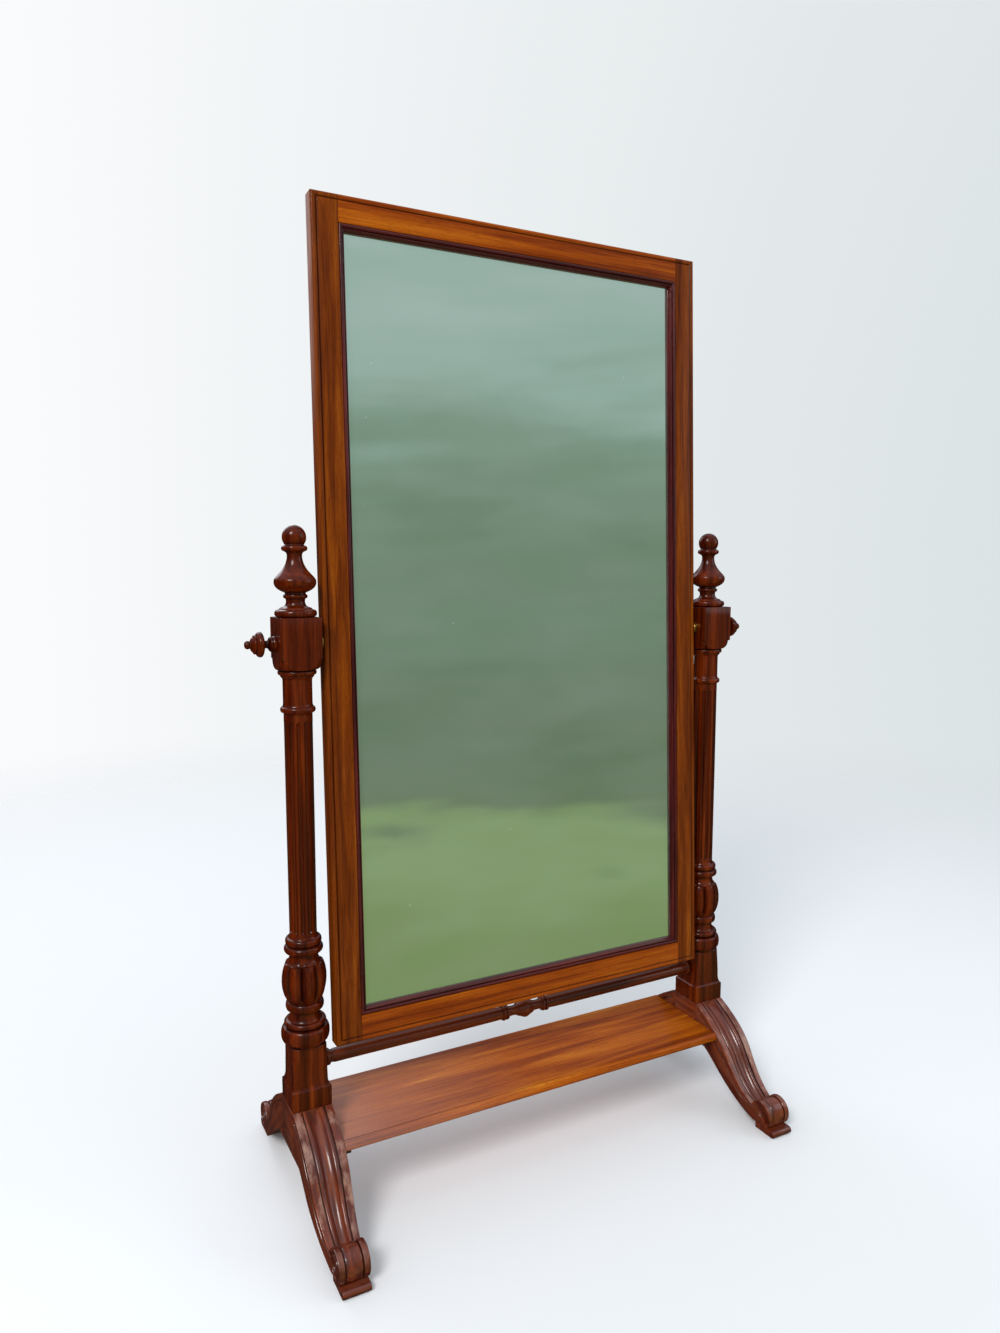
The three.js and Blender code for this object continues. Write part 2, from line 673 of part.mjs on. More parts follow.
for (const [sideName, side] of SIDES) {
  const centre = [side * POST_X, 0, 0];
  addPiece(cheval, `${sideName}_post`, makePost(side), TURNED_WOOD);
  addPiece(cheval, `${sideName}_finial`, makeFinial(side), TURNED_WOOD);
  addPiece(cheval, `${sideName}_base_block`, makeBaseBlock(side), CARVED_WOOD);
  for (const [endName, end] of ENDS) {
    const leg = onEnd(onSide(legBody(), side), end).translate(centre);
    addPiece(cheval, `${sideName}_${endName}_leg`, leg, CARVED_WOOD);
    addPiece(cheval, `${sideName}_${endName}_foot_pad`, onEnd(padBody(), end).translate(centre), CARVED_WOOD);
    const dowels = { lower: LOW_DOWEL, upper: HIGH_DOWEL };
    for (const [level, dowel] of Object.entries(dowels)) {
      const name = `${sideName}_${endName}_${level}_dowel`;
      addPiece(cheval, name, onEnd(dowelRod(dowel), end).translate(centre), BEECH);
    }
    const screwName = `${sideName}_${endName}_cleat_screw`;
    const cleatScrew = cleatScrewPlace(woodScrew(28), end * CLEAT.screwY);
    addPiece(cheval, screwName, onSide(cleatScrew, side), STEEL);
  }
  addPiece(cheval, `${sideName}_shelf_cleat`, onSide(cleatBody(), side), BEECH);
  addPiece(cheval, `${sideName}_pivot_bush`, onSide(bushBody(), side), BRASS);
  addPiece(cheval, `${sideName}_knob`, onSide(knobBody(), side), TURNED_WOOD);
  addPiece(cheval, `${sideName}_knob_screw`, onSide(knobScrewBody(), side), STEEL);
}

addPiece(cheval, 'stretcher_rail', makeStretcher(), TURNED_WOOD);
addPiece(cheval, 'shelf', makeShelf(), SHELF_WOOD);

for (const [railName, way, edge] of RAILS) {
  addPiece(mirrorFrame, `${railName}_rail`, makeRail(way, edge), FRAME_WOOD);
  addPiece(mirrorFrame, `${railName}_bead`, makeBead(way, edge - MEMBER, 'x'), BEAD_WOOD);
}

for (const [sideName, side] of SIDES) {
  addPiece(mirrorFrame, `${sideName}_stile`, makeStile(side), FRAME_WOOD);
  addPiece(mirrorFrame, `${sideName}_bead`, makeBead(side, HALF_OPENING, 'z'), BEAD_WOOD);
  addPiece(mirrorFrame, `${sideName}_pivot_plate`, onSide(plateBody(), side), BRASS);
  for (const [level, way] of [['lower', -1], ['upper', 1]]) {
    const plateScrew = plateScrewPlace(woodScrew(20), way * PLATE.screwZ);
    addPiece(mirrorFrame, `${sideName}_${level}_plate_screw`, onSide(plateScrew, side), BRASS);
  }
}

const glassFront = FRAME_FRONT + GLASS_FRONT;
const glassPlate = block(
  grow([-HALF_OPENING, HALF_OPENING], -1.2),
  [glassFront, glassFront + GLASS_THICKNESS],
  grow([OPENING_BOTTOM, OPENING_TOP], -1.2),
);
addPiece(mirrorFrame, 'mirror_plate', glassPlate, SILVERED_GLASS);

for (const [boardName, column] of BOARDS) {
  addPiece(mirrorFrame, `${boardName}_backboard`, makeBoard(column), PINE);
  for (const [railName, way] of RAILS) {
    const screw = boardScrew(woodScrew(16, 1.5), column, way);
    addPiece(mirrorFrame, `${boardName}_${railName}_back_screw`, screw, BRASS);
  }
}

export default cheval;
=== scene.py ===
import math

import bmesh
import bpy
import numpy as np
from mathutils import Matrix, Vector


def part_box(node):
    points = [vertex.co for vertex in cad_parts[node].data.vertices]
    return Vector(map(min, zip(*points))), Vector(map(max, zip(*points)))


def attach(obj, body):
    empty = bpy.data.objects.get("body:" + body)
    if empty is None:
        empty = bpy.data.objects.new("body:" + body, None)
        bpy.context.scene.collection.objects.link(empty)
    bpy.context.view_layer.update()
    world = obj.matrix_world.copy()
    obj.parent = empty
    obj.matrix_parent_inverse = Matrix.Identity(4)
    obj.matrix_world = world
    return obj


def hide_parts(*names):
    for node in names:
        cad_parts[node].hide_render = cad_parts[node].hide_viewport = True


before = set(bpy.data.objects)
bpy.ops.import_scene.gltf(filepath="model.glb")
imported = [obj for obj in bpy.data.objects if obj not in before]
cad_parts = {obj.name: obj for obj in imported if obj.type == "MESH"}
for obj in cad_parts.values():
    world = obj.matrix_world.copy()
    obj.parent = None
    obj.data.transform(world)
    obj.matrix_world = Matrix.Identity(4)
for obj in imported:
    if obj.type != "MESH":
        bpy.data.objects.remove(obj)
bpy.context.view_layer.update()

scene = bpy.context.scene

# ---------------------------------------------------------------- camera, floor and light
# A pale floor fades into a pale room. One large soft light stands at the front left, and two weak ones
# stand at the right and behind. Polished wood and the silvered glass look out on a hazy garden: grass
# below, a hedge, and pale sky above.
MM = 0.001


def linear(code):
    """An sRGB hex colour such as "7a3f1c" as linear RGBA."""
    parts = [int(code[i:i + 2], 16) / 255 for i in (0, 2, 4)]
    return [p / 12.92 if p <= 0.04045 else ((p + 0.055) / 1.055) ** 2.4 for p in parts] + [1.0]


def add(tree, kind, sockets=None, stops=None, **settings):
    """Adds a node with its settings. A socket gets a value, or a link where it is given a node's output."""
    made = tree.nodes.new(kind)
    for key, value in settings.items():
        setattr(made, key, value)
    for key, value in (sockets or {}).items():
        if isinstance(value, bpy.types.NodeSocket):
            tree.links.new(value, made.inputs[key])
        else:
            made.inputs[key].default_value = value
    for i, (place, colour) in enumerate(stops or ()):
        elements = made.color_ramp.elements
        stop = elements[i] if i < 2 else elements.new(place)
        stop.position, stop.color = place, linear(colour)
    return made


def new_material(name):
    material = bpy.data.materials.new(name)
    material.use_nodes = True
    material.node_tree.nodes.clear()
    return material, material.node_tree


EYE = (-0.7859, -1.4058, 1.0227)
LOOKS_DOWN, LOOKS_RIGHT = 0.1073, 0.4830
LENS = 25.24
camera_data = bpy.data.cameras.new("camera")
camera_data.sensor_fit = "VERTICAL"
camera_data.sensor_height = 36
camera_data.lens = LENS
camera_data.clip_end = 60
camera = bpy.data.objects.new("camera", camera_data)
camera.location = EYE
camera.rotation_euler = (math.pi / 2 - LOOKS_DOWN, 0, -LOOKS_RIGHT)
scene.collection.objects.link(camera)
scene.camera = camera
scene.view_settings.view_transform = "Standard"

world = bpy.data.worlds.new("pale_room")
scene.world = world
world.use_nodes = True
sky = world.node_tree
sky.nodes.clear()
direction = add(sky, "ShaderNodeTexCoord").outputs["Generated"]
aim = add(sky, "ShaderNodeSeparateXYZ", {0: direction})
side_share = add(sky, "ShaderNodeMapRange", {0: aim.outputs["X"], 1: 0.0, 2: 0.9})
room = add(sky, "ShaderNodeValToRGB", {0: side_share.outputs[0]}, stops=[(0, "fafbfd"), (1, "d9e1e2")])
stretched = add(sky, "ShaderNodeMapping", {"Vector": direction, "Scale": (2.4, 2.4, 16)})
haze = add(sky, "ShaderNodeTexNoise", {"Vector": stretched.outputs[0], "Scale": 1.3, "Detail": 5})
leaves = add(sky, "ShaderNodeTexNoise", {"Vector": direction, "Scale": 9, "Detail": 6, "Roughness": 0.6})
swell = add(sky, "ShaderNodeMath", {0: haze.outputs["Fac"], 1: 0.34, 2: -0.17}, operation="MULTIPLY_ADD")
ruffle = add(sky, "ShaderNodeMath", {0: leaves.outputs["Fac"], 1: 0.05, 2: swell.outputs[0]},
             operation="MULTIPLY_ADD")
height = add(sky, "ShaderNodeMath", {0: aim.outputs["Z"], 1: ruffle.outputs[0]})
band = add(sky, "ShaderNodeMapRange", {0: height.outputs[0], 1: -0.6, 2: 0.9})
garden = add(sky, "ShaderNodeValToRGB", {0: band.outputs[0]}, stops=[
    (0.0, "75894f"), (0.2, "7f9660"), (0.275, "8aa270"), (0.3, "6b7e60"), (0.345, "6a7e66"),
    (0.41, "6f866f"), (0.48, "748d78"), (0.53, "7d9885"), (0.6, "9cb6ae"), (1.0, "d9e4ea")])
open_sky = add(sky, "ShaderNodeValToRGB", {0: aim.outputs["Z"]}, stops=[
    (0.0, "2c2422"), (0.2, "4a4240"), (0.5, "b9b0b6"), (0.8, "f6f0f6")])
ahead = add(sky, "ShaderNodeMapRange", {0: aim.outputs["Y"], 1: -0.35, 2: -0.65})
around = add(sky, "ShaderNodeMix", {0: ahead.outputs[0], 6: open_sky.outputs[0], 7: garden.outputs[0]},
             data_type="RGBA")
rays = add(sky, "ShaderNodeLightPath")
room_view = add(sky, "ShaderNodeBackground", {"Color": room.outputs[0], "Strength": 1.0})
room_light = add(sky, "ShaderNodeBackground", {"Color": linear("f4f6fa"), "Strength": 0.72})
garden_light = add(sky, "ShaderNodeBackground", {"Color": around.outputs[2], "Strength": 1.0})
lit = add(sky, "ShaderNodeMixShader", {0: rays.outputs["Is Glossy Ray"], 1: room_light.outputs[0],
                                       2: garden_light.outputs[0]})
seen = add(sky, "ShaderNodeMixShader", {0: rays.outputs["Is Camera Ray"], 1: lit.outputs[0],
                                        2: room_view.outputs[0]})
add(sky, "ShaderNodeOutputWorld", {"Surface": seen.outputs[0]})

# Each lamp's place, the height it aims at over the middle of the floor, its width, power and tint.
LAMPS = {
    "window_light": ((-3.3, -2.7, 4.0), 0.7, 1.9, 176, "fff7f5"),
    "room_fill": ((2.8, -1.6, 1.8), 0.6, 2.0, 14, "f2f6ff"),
    "back_light": ((-0.6, 2.8, 2.6), 0.6, 2.0, 22, "f4f8ff")}
for name, (place, aim_height, width, power, tint) in LAMPS.items():
    data = bpy.data.lights.new(name, "AREA")
    data.shape = "DISK"
    data.size, data.energy, data.color = width, power, linear(tint)[:3]
    lamp = bpy.data.objects.new(name, data)
    lamp.location = place
    lamp.rotation_euler = (Vector((0, 0, aim_height)) - Vector(place)).to_track_quat("-Z", "Y").to_euler()
    scene.collection.objects.link(lamp)

FLOOR_RADIUS, FLOOR_SIDES = 9.0, 64
FLOOR_Z = -0.0004
floor_mesh = bpy.data.meshes.new("floor")
rim_angles = [step * math.tau / FLOOR_SIDES for step in range(FLOOR_SIDES)]
rim = [(FLOOR_RADIUS * math.cos(a), FLOOR_RADIUS * math.sin(a), FLOOR_Z) for a in rim_angles]
floor_mesh.from_pydata(rim, [], [list(range(FLOOR_SIDES))])
floor = bpy.data.objects.new("floor", floor_mesh)
scene.collection.objects.link(floor)
floor.visible_glossy = False
# Matt, nearly white floor paint that thins out into the room.
paint, nodes = new_material("pale_matt_floor")
place = add(nodes, "ShaderNodeTexCoord").outputs["Object"]
spread = add(nodes, "ShaderNodeVectorMath", {0: place}, operation="LENGTH")
fade = add(nodes, "ShaderNodeMapRange", {0: spread.outputs["Value"], 1: 1.0, 2: 4.5},
           interpolation_type="SMOOTHSTEP")
matt = add(nodes, "ShaderNodeBsdfDiffuse", {"Color": linear("ecf2f5")})
gone = add(nodes, "ShaderNodeBsdfTransparent")
both = add(nodes, "ShaderNodeMixShader", {0: fade.outputs[0], 1: matt.outputs[0], 2: gone.outputs[0]})
add(nodes, "ShaderNodeOutputMaterial", {"Surface": both.outputs[0]})
floor_mesh.materials.append(paint)

# ---------------------------------------------------------------- base blocks and dowels
# A squared block of mahogany joins each pair of legs; the post's tenon drops into it from above.
# Two beech dowels a side hold each leg. The blocks have the same rubbed red polish as the carved legs.
SIDES = {"left": -1, "right": 1}
ENDS = {"front": -1, "rear": 1}
base_low, base_high = (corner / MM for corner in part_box("right_base_block"))
POST_X = (base_low.x + base_high.x) / 2
HALF_BLOCK = (base_high.x - base_low.x) / 2


def place_of(tree, axis, attribute=None):
    """Coordinates in metres with the grain turned to run along Z."""
    if attribute:
        return add(tree, "ShaderNodeAttribute", attribute_name=attribute).outputs["Vector"]
    turn = {"x": (0, -math.pi / 2, 0), "y": (math.pi / 2, 0, 0), "z": (0, 0, 0)}[axis]
    coordinates = add(tree, "ShaderNodeTexCoord").outputs["Object"]
    return add(tree, "ShaderNodeMapping", {"Vector": coordinates, "Rotation": turn}).outputs[0]


# Widths of the fine streaks and pores of mahogany, and the lengths of its ribbon figure, streaks and pores,
# in millimetres. Real pores are 0.2 wide, so they are drawn coarser to show.
STREAK_WIDTH, PORE_WIDTH = 2.4, 0.9
FIGURE_LENGTH, STREAK_LENGTH, PORE_LENGTH = 420, 110, 14
# Where the painted pinkish sheen starts and ends along X, and how far the painted shade reaches out of a
# corner, in metres.
SHEEN_FROM, SHEEN_TO = -0.37, -0.02
PAINTED_SHADE_REACH = 0.007


def mahogany(name, shades, axis="z", attribute=None, worn=0.0, wear_and_sheen_shade="b08a78", coat=0.5, rough=0.3,
             figure=20, painted_shade=0.85, shine=0.14, painted_sheen=0.0):
    """Oiled, grain-filled and French-polished mahogany: ribbon figure, fine streaks, filled pores and thin
    gloss. shades runs from the darkest vein to the lightest, and figure is the width of the ribbons in
    millimetres."""
    material, tree = new_material(name)
    grain = place_of(tree, axis, attribute)
    noise = {}
    for label, width, length, settings in (
            ("broad", figure, FIGURE_LENGTH, {"Detail": 4, "Roughness": 0.55, "Distortion": 0.5}),
            ("fine", STREAK_WIDTH, STREAK_LENGTH, {"Detail": 3}),
            ("pores", PORE_WIDTH, PORE_LENGTH, {"Detail": 1})):
        per_metre = (1 / (width * MM), 1 / (width * MM), 1 / (length * MM))
        stretched = add(tree, "ShaderNodeMapping", {"Vector": grain, "Scale": per_metre}).outputs[0]
        patterned = add(tree, "ShaderNodeTexNoise", {"Vector": stretched, "Scale": 1.0} | settings)
        noise[label] = patterned.outputs["Fac"]
    broad, fine, pores = noise.values()
    tone = add(tree, "ShaderNodeMath", {0: broad, 1: 0.72}, operation="MULTIPLY")
    tone = add(tree, "ShaderNodeMath", {0: fine, 1: 0.28, 2: tone.outputs[0]}, operation="MULTIPLY_ADD")
    tones = add(tree, "ShaderNodeValToRGB", {0: tone.outputs[0]}, stops=[
        (0.3, shades[0]), (0.44, shades[1]), (0.56, shades[2]), (0.7, shades[3])])
    pits = add(tree, "ShaderNodeMapRange", {0: pores, 1: 0.56, 2: 0.72, 3: 0.0, 4: 0.45})
    colour = add(tree, "ShaderNodeMix", {0: pits.outputs[0], 6: tones.outputs[0], 7: linear(shades[0])},
                 data_type="RGBA")
    colour = colour.outputs[2]
    if worn:
        stretched = add(tree, "ShaderNodeMapping", {"Vector": grain, "Scale": (55, 55, 26)}).outputs[0]
        patches = add(tree, "ShaderNodeTexNoise", {"Vector": stretched, "Scale": 1.0, "Detail": 5,
                                                   "Roughness": 0.65})
        rubbed = add(tree, "ShaderNodeMapRange", {0: patches.outputs["Fac"], 1: 0.46, 2: 0.68, 3: 0.0,
                                                  4: worn})
        reach = add(tree, "ShaderNodeAttribute", attribute_name="rub").outputs["Fac"]
        share = add(tree, "ShaderNodeMath", {0: rubbed.outputs[0], 1: reach}, operation="MULTIPLY")
        colour = add(tree, "ShaderNodeMix", {0: share.outputs[0], 6: colour, 7: linear(wear_and_sheen_shade)},
                     data_type="RGBA").outputs[2]
    # Painted sheen: towards the -X end the colour is mixed with the pale colour, as a painted pinkish
    # reflection.
    if painted_sheen:
        spot = add(tree, "ShaderNodeSeparateXYZ", {0: add(tree, "ShaderNodeTexCoord").outputs["Object"]})
        sheen_share = add(tree, "ShaderNodeMapRange", {0: spot.outputs["X"], 1: SHEEN_FROM, 2: SHEEN_TO,
                                                 3: painted_sheen, 4: 0.0})
        colour = add(tree, "ShaderNodeMix", {0: sheen_share.outputs[0], 6: colour, 7: linear(wear_and_sheen_shade)},
                     data_type="RGBA").outputs[2]
    # Painted shade: ambient occlusion darkens creases, quirks, grooves and corners towards a near-black red.
    hollows = add(tree, "ShaderNodeAmbientOcclusion", {"Distance": PAINTED_SHADE_REACH}, samples=6, only_local=True)
    shade_share = add(tree, "ShaderNodeMapRange", {0: hollows.outputs["AO"], 1: 0.35, 2: 0.95, 3: painted_shade, 4: 0.0})
    colour = add(tree, "ShaderNodeMix", {0: shade_share.outputs[0], 6: colour, 7: linear("1a0705")},
                 data_type="RGBA").outputs[2]
    stretched = add(tree, "ShaderNodeMapping", {"Vector": grain, "Scale": (30, 30, 12)}).outputs[0]
    smear = add(tree, "ShaderNodeTexNoise", {"Vector": stretched, "Scale": 1.0, "Detail": 4})
    gloss = add(tree, "ShaderNodeMapRange", {0: smear.outputs["Fac"], 1: 0.3, 2: 0.75, 3: rough - 0.07,
                                             4: rough + 0.12})
    ripple = add(tree, "ShaderNodeMath", {0: fine, 1: 0.5, 2: pores}, operation="MULTIPLY_ADD")
    relief = add(tree, "ShaderNodeBump", {"Height": ripple.outputs[0], "Strength": 0.07, "Distance": 0.0005})
    shader = add(tree, "ShaderNodeBsdfPrincipled", {
        "Base Color": colour, "Roughness": gloss.outputs[0], "Normal": relief.outputs[0], "IOR": 1.5,
        "Specular IOR Level": shine, "Coat Weight": coat, "Coat Roughness": 0.12, "Coat IOR": 1.45})
    add(tree, "ShaderNodeOutputMaterial", {"Surface": shader.outputs[0]})
    return material


def plain_wood(name, shades, axis, ring, rough=0.62):
    """Bare or thinly sealed pine or beech, sawn and planed: growth rings, fine flecks and no gloss. ring is
    the space between growth rings in metres."""
    material, tree = new_material(name)
    grain = place_of(tree, axis)
    per_metre = (1 / ring, 1 / ring, 1 / 0.9)
    drawn_out = add(tree, "ShaderNodeMapping", {"Vector": grain, "Scale": per_metre}).outputs[0]
    rings = add(tree, "ShaderNodeTexNoise", {"Vector": drawn_out, "Scale": 1.0, "Detail": 4,
                                             "Distortion": 1.2})
    close = add(tree, "ShaderNodeMapping", {"Vector": grain, "Scale": (600, 600, 40)}).outputs[0]
    flecks = add(tree, "ShaderNodeTexNoise", {"Vector": close, "Scale": 1.0, "Detail": 2})
    tone = add(tree, "ShaderNodeMath", {0: flecks.outputs["Fac"], 1: 0.35, 2: rings.outputs["Fac"]},
               operation="MULTIPLY_ADD")
    tones = add(tree, "ShaderNodeValToRGB", {0: tone.outputs[0]}, stops=[
        (0.5, shades[0]), (0.68, shades[1]), (0.86, shades[2])])
    relief = add(tree, "ShaderNodeBump", {"Height": tone.outputs[0], "Strength": 0.2, "Distance": 0.0006})
    shader = add(tree, "ShaderNodeBsdfPrincipled", {"Base Color": tones.outputs[0], "Roughness": rough,
                                                    "Normal": relief.outputs[0], "IOR": 1.5})
    add(tree, "ShaderNodeOutputMaterial", {"Surface": shader.outputs[0]})
    return material


# Beech dowels: pale pinkish brown, dull, with short flecks.
beech = plain_wood("planed_beech", ["9c7349", "b98f62", "cda87c"], "y", 0.009)
# Carved legs: red mahogany whose polish has been rubbed pale and dusty along the top.
CARVED_SHADES = ["340c04", "521b0a", "6c2b10", "84401a"]
rubbed_mahogany = mahogany("rubbed_french_polished_mahogany", CARVED_SHADES, attribute="grain", worn=0.65,
                           wear_and_sheen_shade="b5917f", coat=0.65, rough=0.3, figure=14, shine=0.3)


def settle(name, mesh, material, body, slot, *nodes):
    """Puts a finished mesh into the scene as a named piece that moves with its body."""
    piece = bpy.data.objects.new(name, mesh)
    scene.collection.objects.link(piece)
    if material:
        mesh.materials.clear()
        mesh.materials.append(material)
    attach(piece, body)
    if nodes:
        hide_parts(*nodes)
    return piece


def shell(name, rings, sharp=32, caps=True, merge=0.004):
    """Closed skin with flat ends over a stack of rings of points in millimetres. Edges over sharp degrees
    stay crisp."""
    rings = np.asarray(rings, float)
    count, around = rings.shape[:2]
    points = rings.reshape(-1, 3) * MM
    corner = np.arange(count * around).reshape(count, around)
    low, high = corner[:-1], corner[1:]
    faces = np.stack([low, np.roll(low, -1, 1), np.roll(high, -1, 1), high], -1).reshape(-1, 4).tolist()
    if caps:
        faces += [corner[0][::-1].tolist(), corner[-1].tolist()]
    mesh = bpy.data.meshes.new(name)
    mesh.from_pydata(points.tolist(), [], faces)
    return cleaned(mesh, sharp, merge)


def cleaned(mesh, sharp=32, merge=0.004):
    """Welds doubled points, turns faces outwards and sets which edges look crisp."""
    work = bmesh.new()
    work.from_mesh(mesh)
    bmesh.ops.remove_doubles(work, verts=work.verts, dist=merge * MM)
    bmesh.ops.dissolve_degenerate(work, edges=work.edges, dist=0.0005 * MM)
    bmesh.ops.recalc_face_normals(work, faces=work.faces)
    work.to_mesh(mesh)
    work.free()
    mesh.shade_smooth()
    mesh.set_sharp_from_angle(angle=math.radians(sharp))
    return mesh


def carved_with(mesh, *tools):
    """The mesh with closed tool meshes cut out of it."""
    body = bpy.data.objects.new("cutting", mesh)
    scene.collection.objects.link(body)
    cutters = []
    for tool in tools:
        cutter = bpy.data.objects.new("cutter", tool)
        scene.collection.objects.link(cutter)
        step = body.modifiers.new("cut", "BOOLEAN")
        step.operation, step.object, step.solver = "DIFFERENCE", cutter, "MANIFOLD"
        cutters.append(cutter)
    bpy.context.view_layer.update()
    made = bpy.data.meshes.new_from_object(body.evaluated_get(bpy.context.evaluated_depsgraph_get()))
    for spare in (body, *cutters):
        bpy.data.objects.remove(spare)
    return made


def grain_along(mesh, turn, rubbing=lambda co: 0.1):
    """Stores each point's place with the grain laid along Z, as turn gives it, and how rubbed its polish
    is."""
    places = [turn(vertex.co) for vertex in mesh.vertices]
    amounts = [rubbing(vertex.co) for vertex in mesh.vertices]
    for name, kind in (("grain", "FLOAT_VECTOR"), ("rub", "FLOAT")):
        if name not in mesh.attributes:
            mesh.attributes.new(name, kind, "POINT")
    mesh.attributes["grain"].data.foreach_set("vector", np.array(places, np.float32).ravel())
    mesh.attributes["rub"].data.foreach_set("value", np.array(amounts, np.float32))


def bar(name, low, high, ease=1.0, axis=0):
    """Squared bar with softened long and short arrises, from corner low to corner high in millimetres."""
    other = [i for i in range(3) if i != axis]
    size = [high[i] - low[i] for i in other]
    rings = []
    for along, inset in ((low[axis], ease), (low[axis] + ease * 0.3, ease * 0.3), (low[axis] + ease, 0),
                         (high[axis] - ease, 0), (high[axis] - ease * 0.3, ease * 0.3), (high[axis], ease)):
        ring = []
        for cx, cy, start in ((1, 1, 0), (0, 1, 90), (0, 0, 180), (1, 0, 270)):
            for step in range(4):
                angle = math.radians(start + 30 * step)
                point = [0, 0, 0]
                point[axis] = along
                for way, corner, turn in ((0, cx, math.cos(angle)), (1, cy, math.sin(angle))):
                    edge = low[other[way]] + corner * size[way]
                    pull = (1 if corner else -1) * (ease + inset)
                    point[other[way]] = edge - pull + turn * ease
                ring.append(point)
        rings.append(ring)
    return shell(name, rings, sharp=40)


for side_name, side in SIDES.items():
    low, high = (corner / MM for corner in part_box(f"{side_name}_base_block"))
    block = bar(f"{side_name}_base_block", low, high, ease=0.8, axis=1)
    grain_along(block, lambda co: (co.x, co.z, co.y))
    settle(f"{side_name}_joint_block", block, rubbed_mahogany, "stand", "carved_mahogany",
           f"{side_name}_base_block")
    for end_name in ENDS:
        for level in ("lower", "upper"):
            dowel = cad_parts[f"{side_name}_{end_name}_{level}_dowel"]
            dowel.data.materials.clear()
            dowel.data.materials.append(beech)

# ---------------------------------------------------------------- legs and foot pads
# Each leg is sawn from one plank, shaped to a swept scroll and carved along its top with a hollow between
# two beads. A line cut along each side curls into the volute round a sunk eye. A nosed pad is glued under
# the scroll.
ARCH_Z = 93
LEG_TOP_Z = 167.7
SCROLL_CENTRE = (207, 31)
SCROLL_RADIUS = 24.5
PAD_HEIGHT = 12
PAD_BACK = 193
PAD_NOSE = 240
PAD_INSET = 2.0
FOOT_WIDTH = 47
TAPER_START = 96
RUN_POINTS = 84
EYE_CENTRE = np.array(SCROLL_CENTRE) + (1, 1)
SIDE_LINE_RADIUS, SIDE_LINE_INSET = 1.4, 10.0
GRAIN_SLOPE = math.radians(42)


def bezier(a, b, c, d, steps):
    t = np.linspace(0, 1, steps + 1)[:, None]
    a, b, c, d = (np.array(p, float) for p in (a, b, c, d))
    return (1 - t) ** 3 * a + 3 * (1 - t) ** 2 * t * b + 3 * (1 - t) * t * t * c + t ** 3 * d


def arc(cx, cy, rx, ry, start, end, steps):
    angle = np.radians(np.linspace(start, end, steps + 1))
    return np.stack([cx + rx * np.cos(angle), cy + ry * np.sin(angle)], 1)


def respaced(line, count):
    """The same line with count points evenly along it."""
    steps = np.r_[0, np.cumsum(np.linalg.norm(np.diff(line, axis=0), axis=1))]
    even = np.linspace(0, steps[-1], count)
    return np.stack([np.interp(even, steps, line[:, k]) for k in range(line.shape[1])], 1)


def leg_width(reach):
    share = np.clip((reach - TAPER_START) / (SCROLL_CENTRE[0] - TAPER_START), 0, 1)
    share = share * share * (3 - 2 * share)
    return 2 * HALF_BLOCK * (1 + (FOOT_WIDTH / (2 * HALF_BLOCK) - 1) * share)


def swept(line, radius, sides=8):
    """Closed tube in millimetres along a line of points that lies on one side face of a leg."""
    line = np.asarray(line, float)
    ahead = np.gradient(line, axis=0)
    ahead /= np.linalg.norm(ahead, axis=1)[:, None]
    out = np.array([1.0, 0, 0])
    across = np.cross(ahead, out)
    across /= np.linalg.norm(across, axis=1)[:, None]
    angles = np.arange(sides) * math.tau / sides
    size = np.full(len(line), radius, float)
    size[0] = size[-1] = radius * 0.15
    rings = [[p + r * (math.cos(a) * u + math.sin(a) * out) for a in angles]
             for p, u, r in zip(line, across, size)]
    return shell("tube", rings)


TOP_RUN = np.vstack([bezier((HALF_BLOCK, LEG_TOP_Z), (72, 151), (104, 128), (122, 100), 40),
                     bezier((122, 100), (137, 76), (158, 52), (184, 40), 40)[1:]])
UNDERSIDE = bezier((60, ARCH_Z), (110, 62), (150, 20), (190, PAD_HEIGHT + 0.3), 60)
UNDERSIDE = np.vstack([[(HALF_BLOCK, ARCH_Z)], UNDERSIDE])
SCROLL = arc(*SCROLL_CENTRE, SCROLL_RADIUS, SCROLL_RADIUS, 152, -48, 56)

# Depth of the carving across half of a leg's top, as [share of the half width, depth]: hollow, bead, quirk,
# band.
HOLLOW = [(0.0, 7.2), (0.06, 7.1), (0.12, 6.6), (0.18, 5.7), (0.24, 4.4), (0.28, 3.2)]
BEAD_ROUND = [(0.31, 2.0), (0.33, 1.1), (0.36, 0.4), (0.395, 0.02), (0.43, -0.12), (0.47, 0.02), (0.505, 0.5),
              (0.535, 1.4)]
QUIRK = [(0.545, 2.9), (0.575, 3.0), (0.59, 1.3), (0.605, 0.25)]
BAND = [(0.63, 0.0), (0.7, 0.0), (0.8, 0.0), (0.9, 0.0), (0.965, 0.0), (0.985, 0.25), (1.0, 0.9)]
RELIEF = np.array(HOLLOW + BEAD_ROUND + QUIRK + BAND)
# The same shares round the scroll, where the middle is one broad swell between two grooves.
SWELL = np.array([0.0, 0.0, 0.02, 0.06, 0.12, 0.2, 0.28, 0.32, 0.38, 0.5, 0.66, 0.9, 1.3, 1.9])
ROUND = np.r_[SWELL, [4.2, 4.4, 2.2, 0.7], [0.25, 0.05, 0.0, 0.05, 0.3, 0.6, 1.2]]


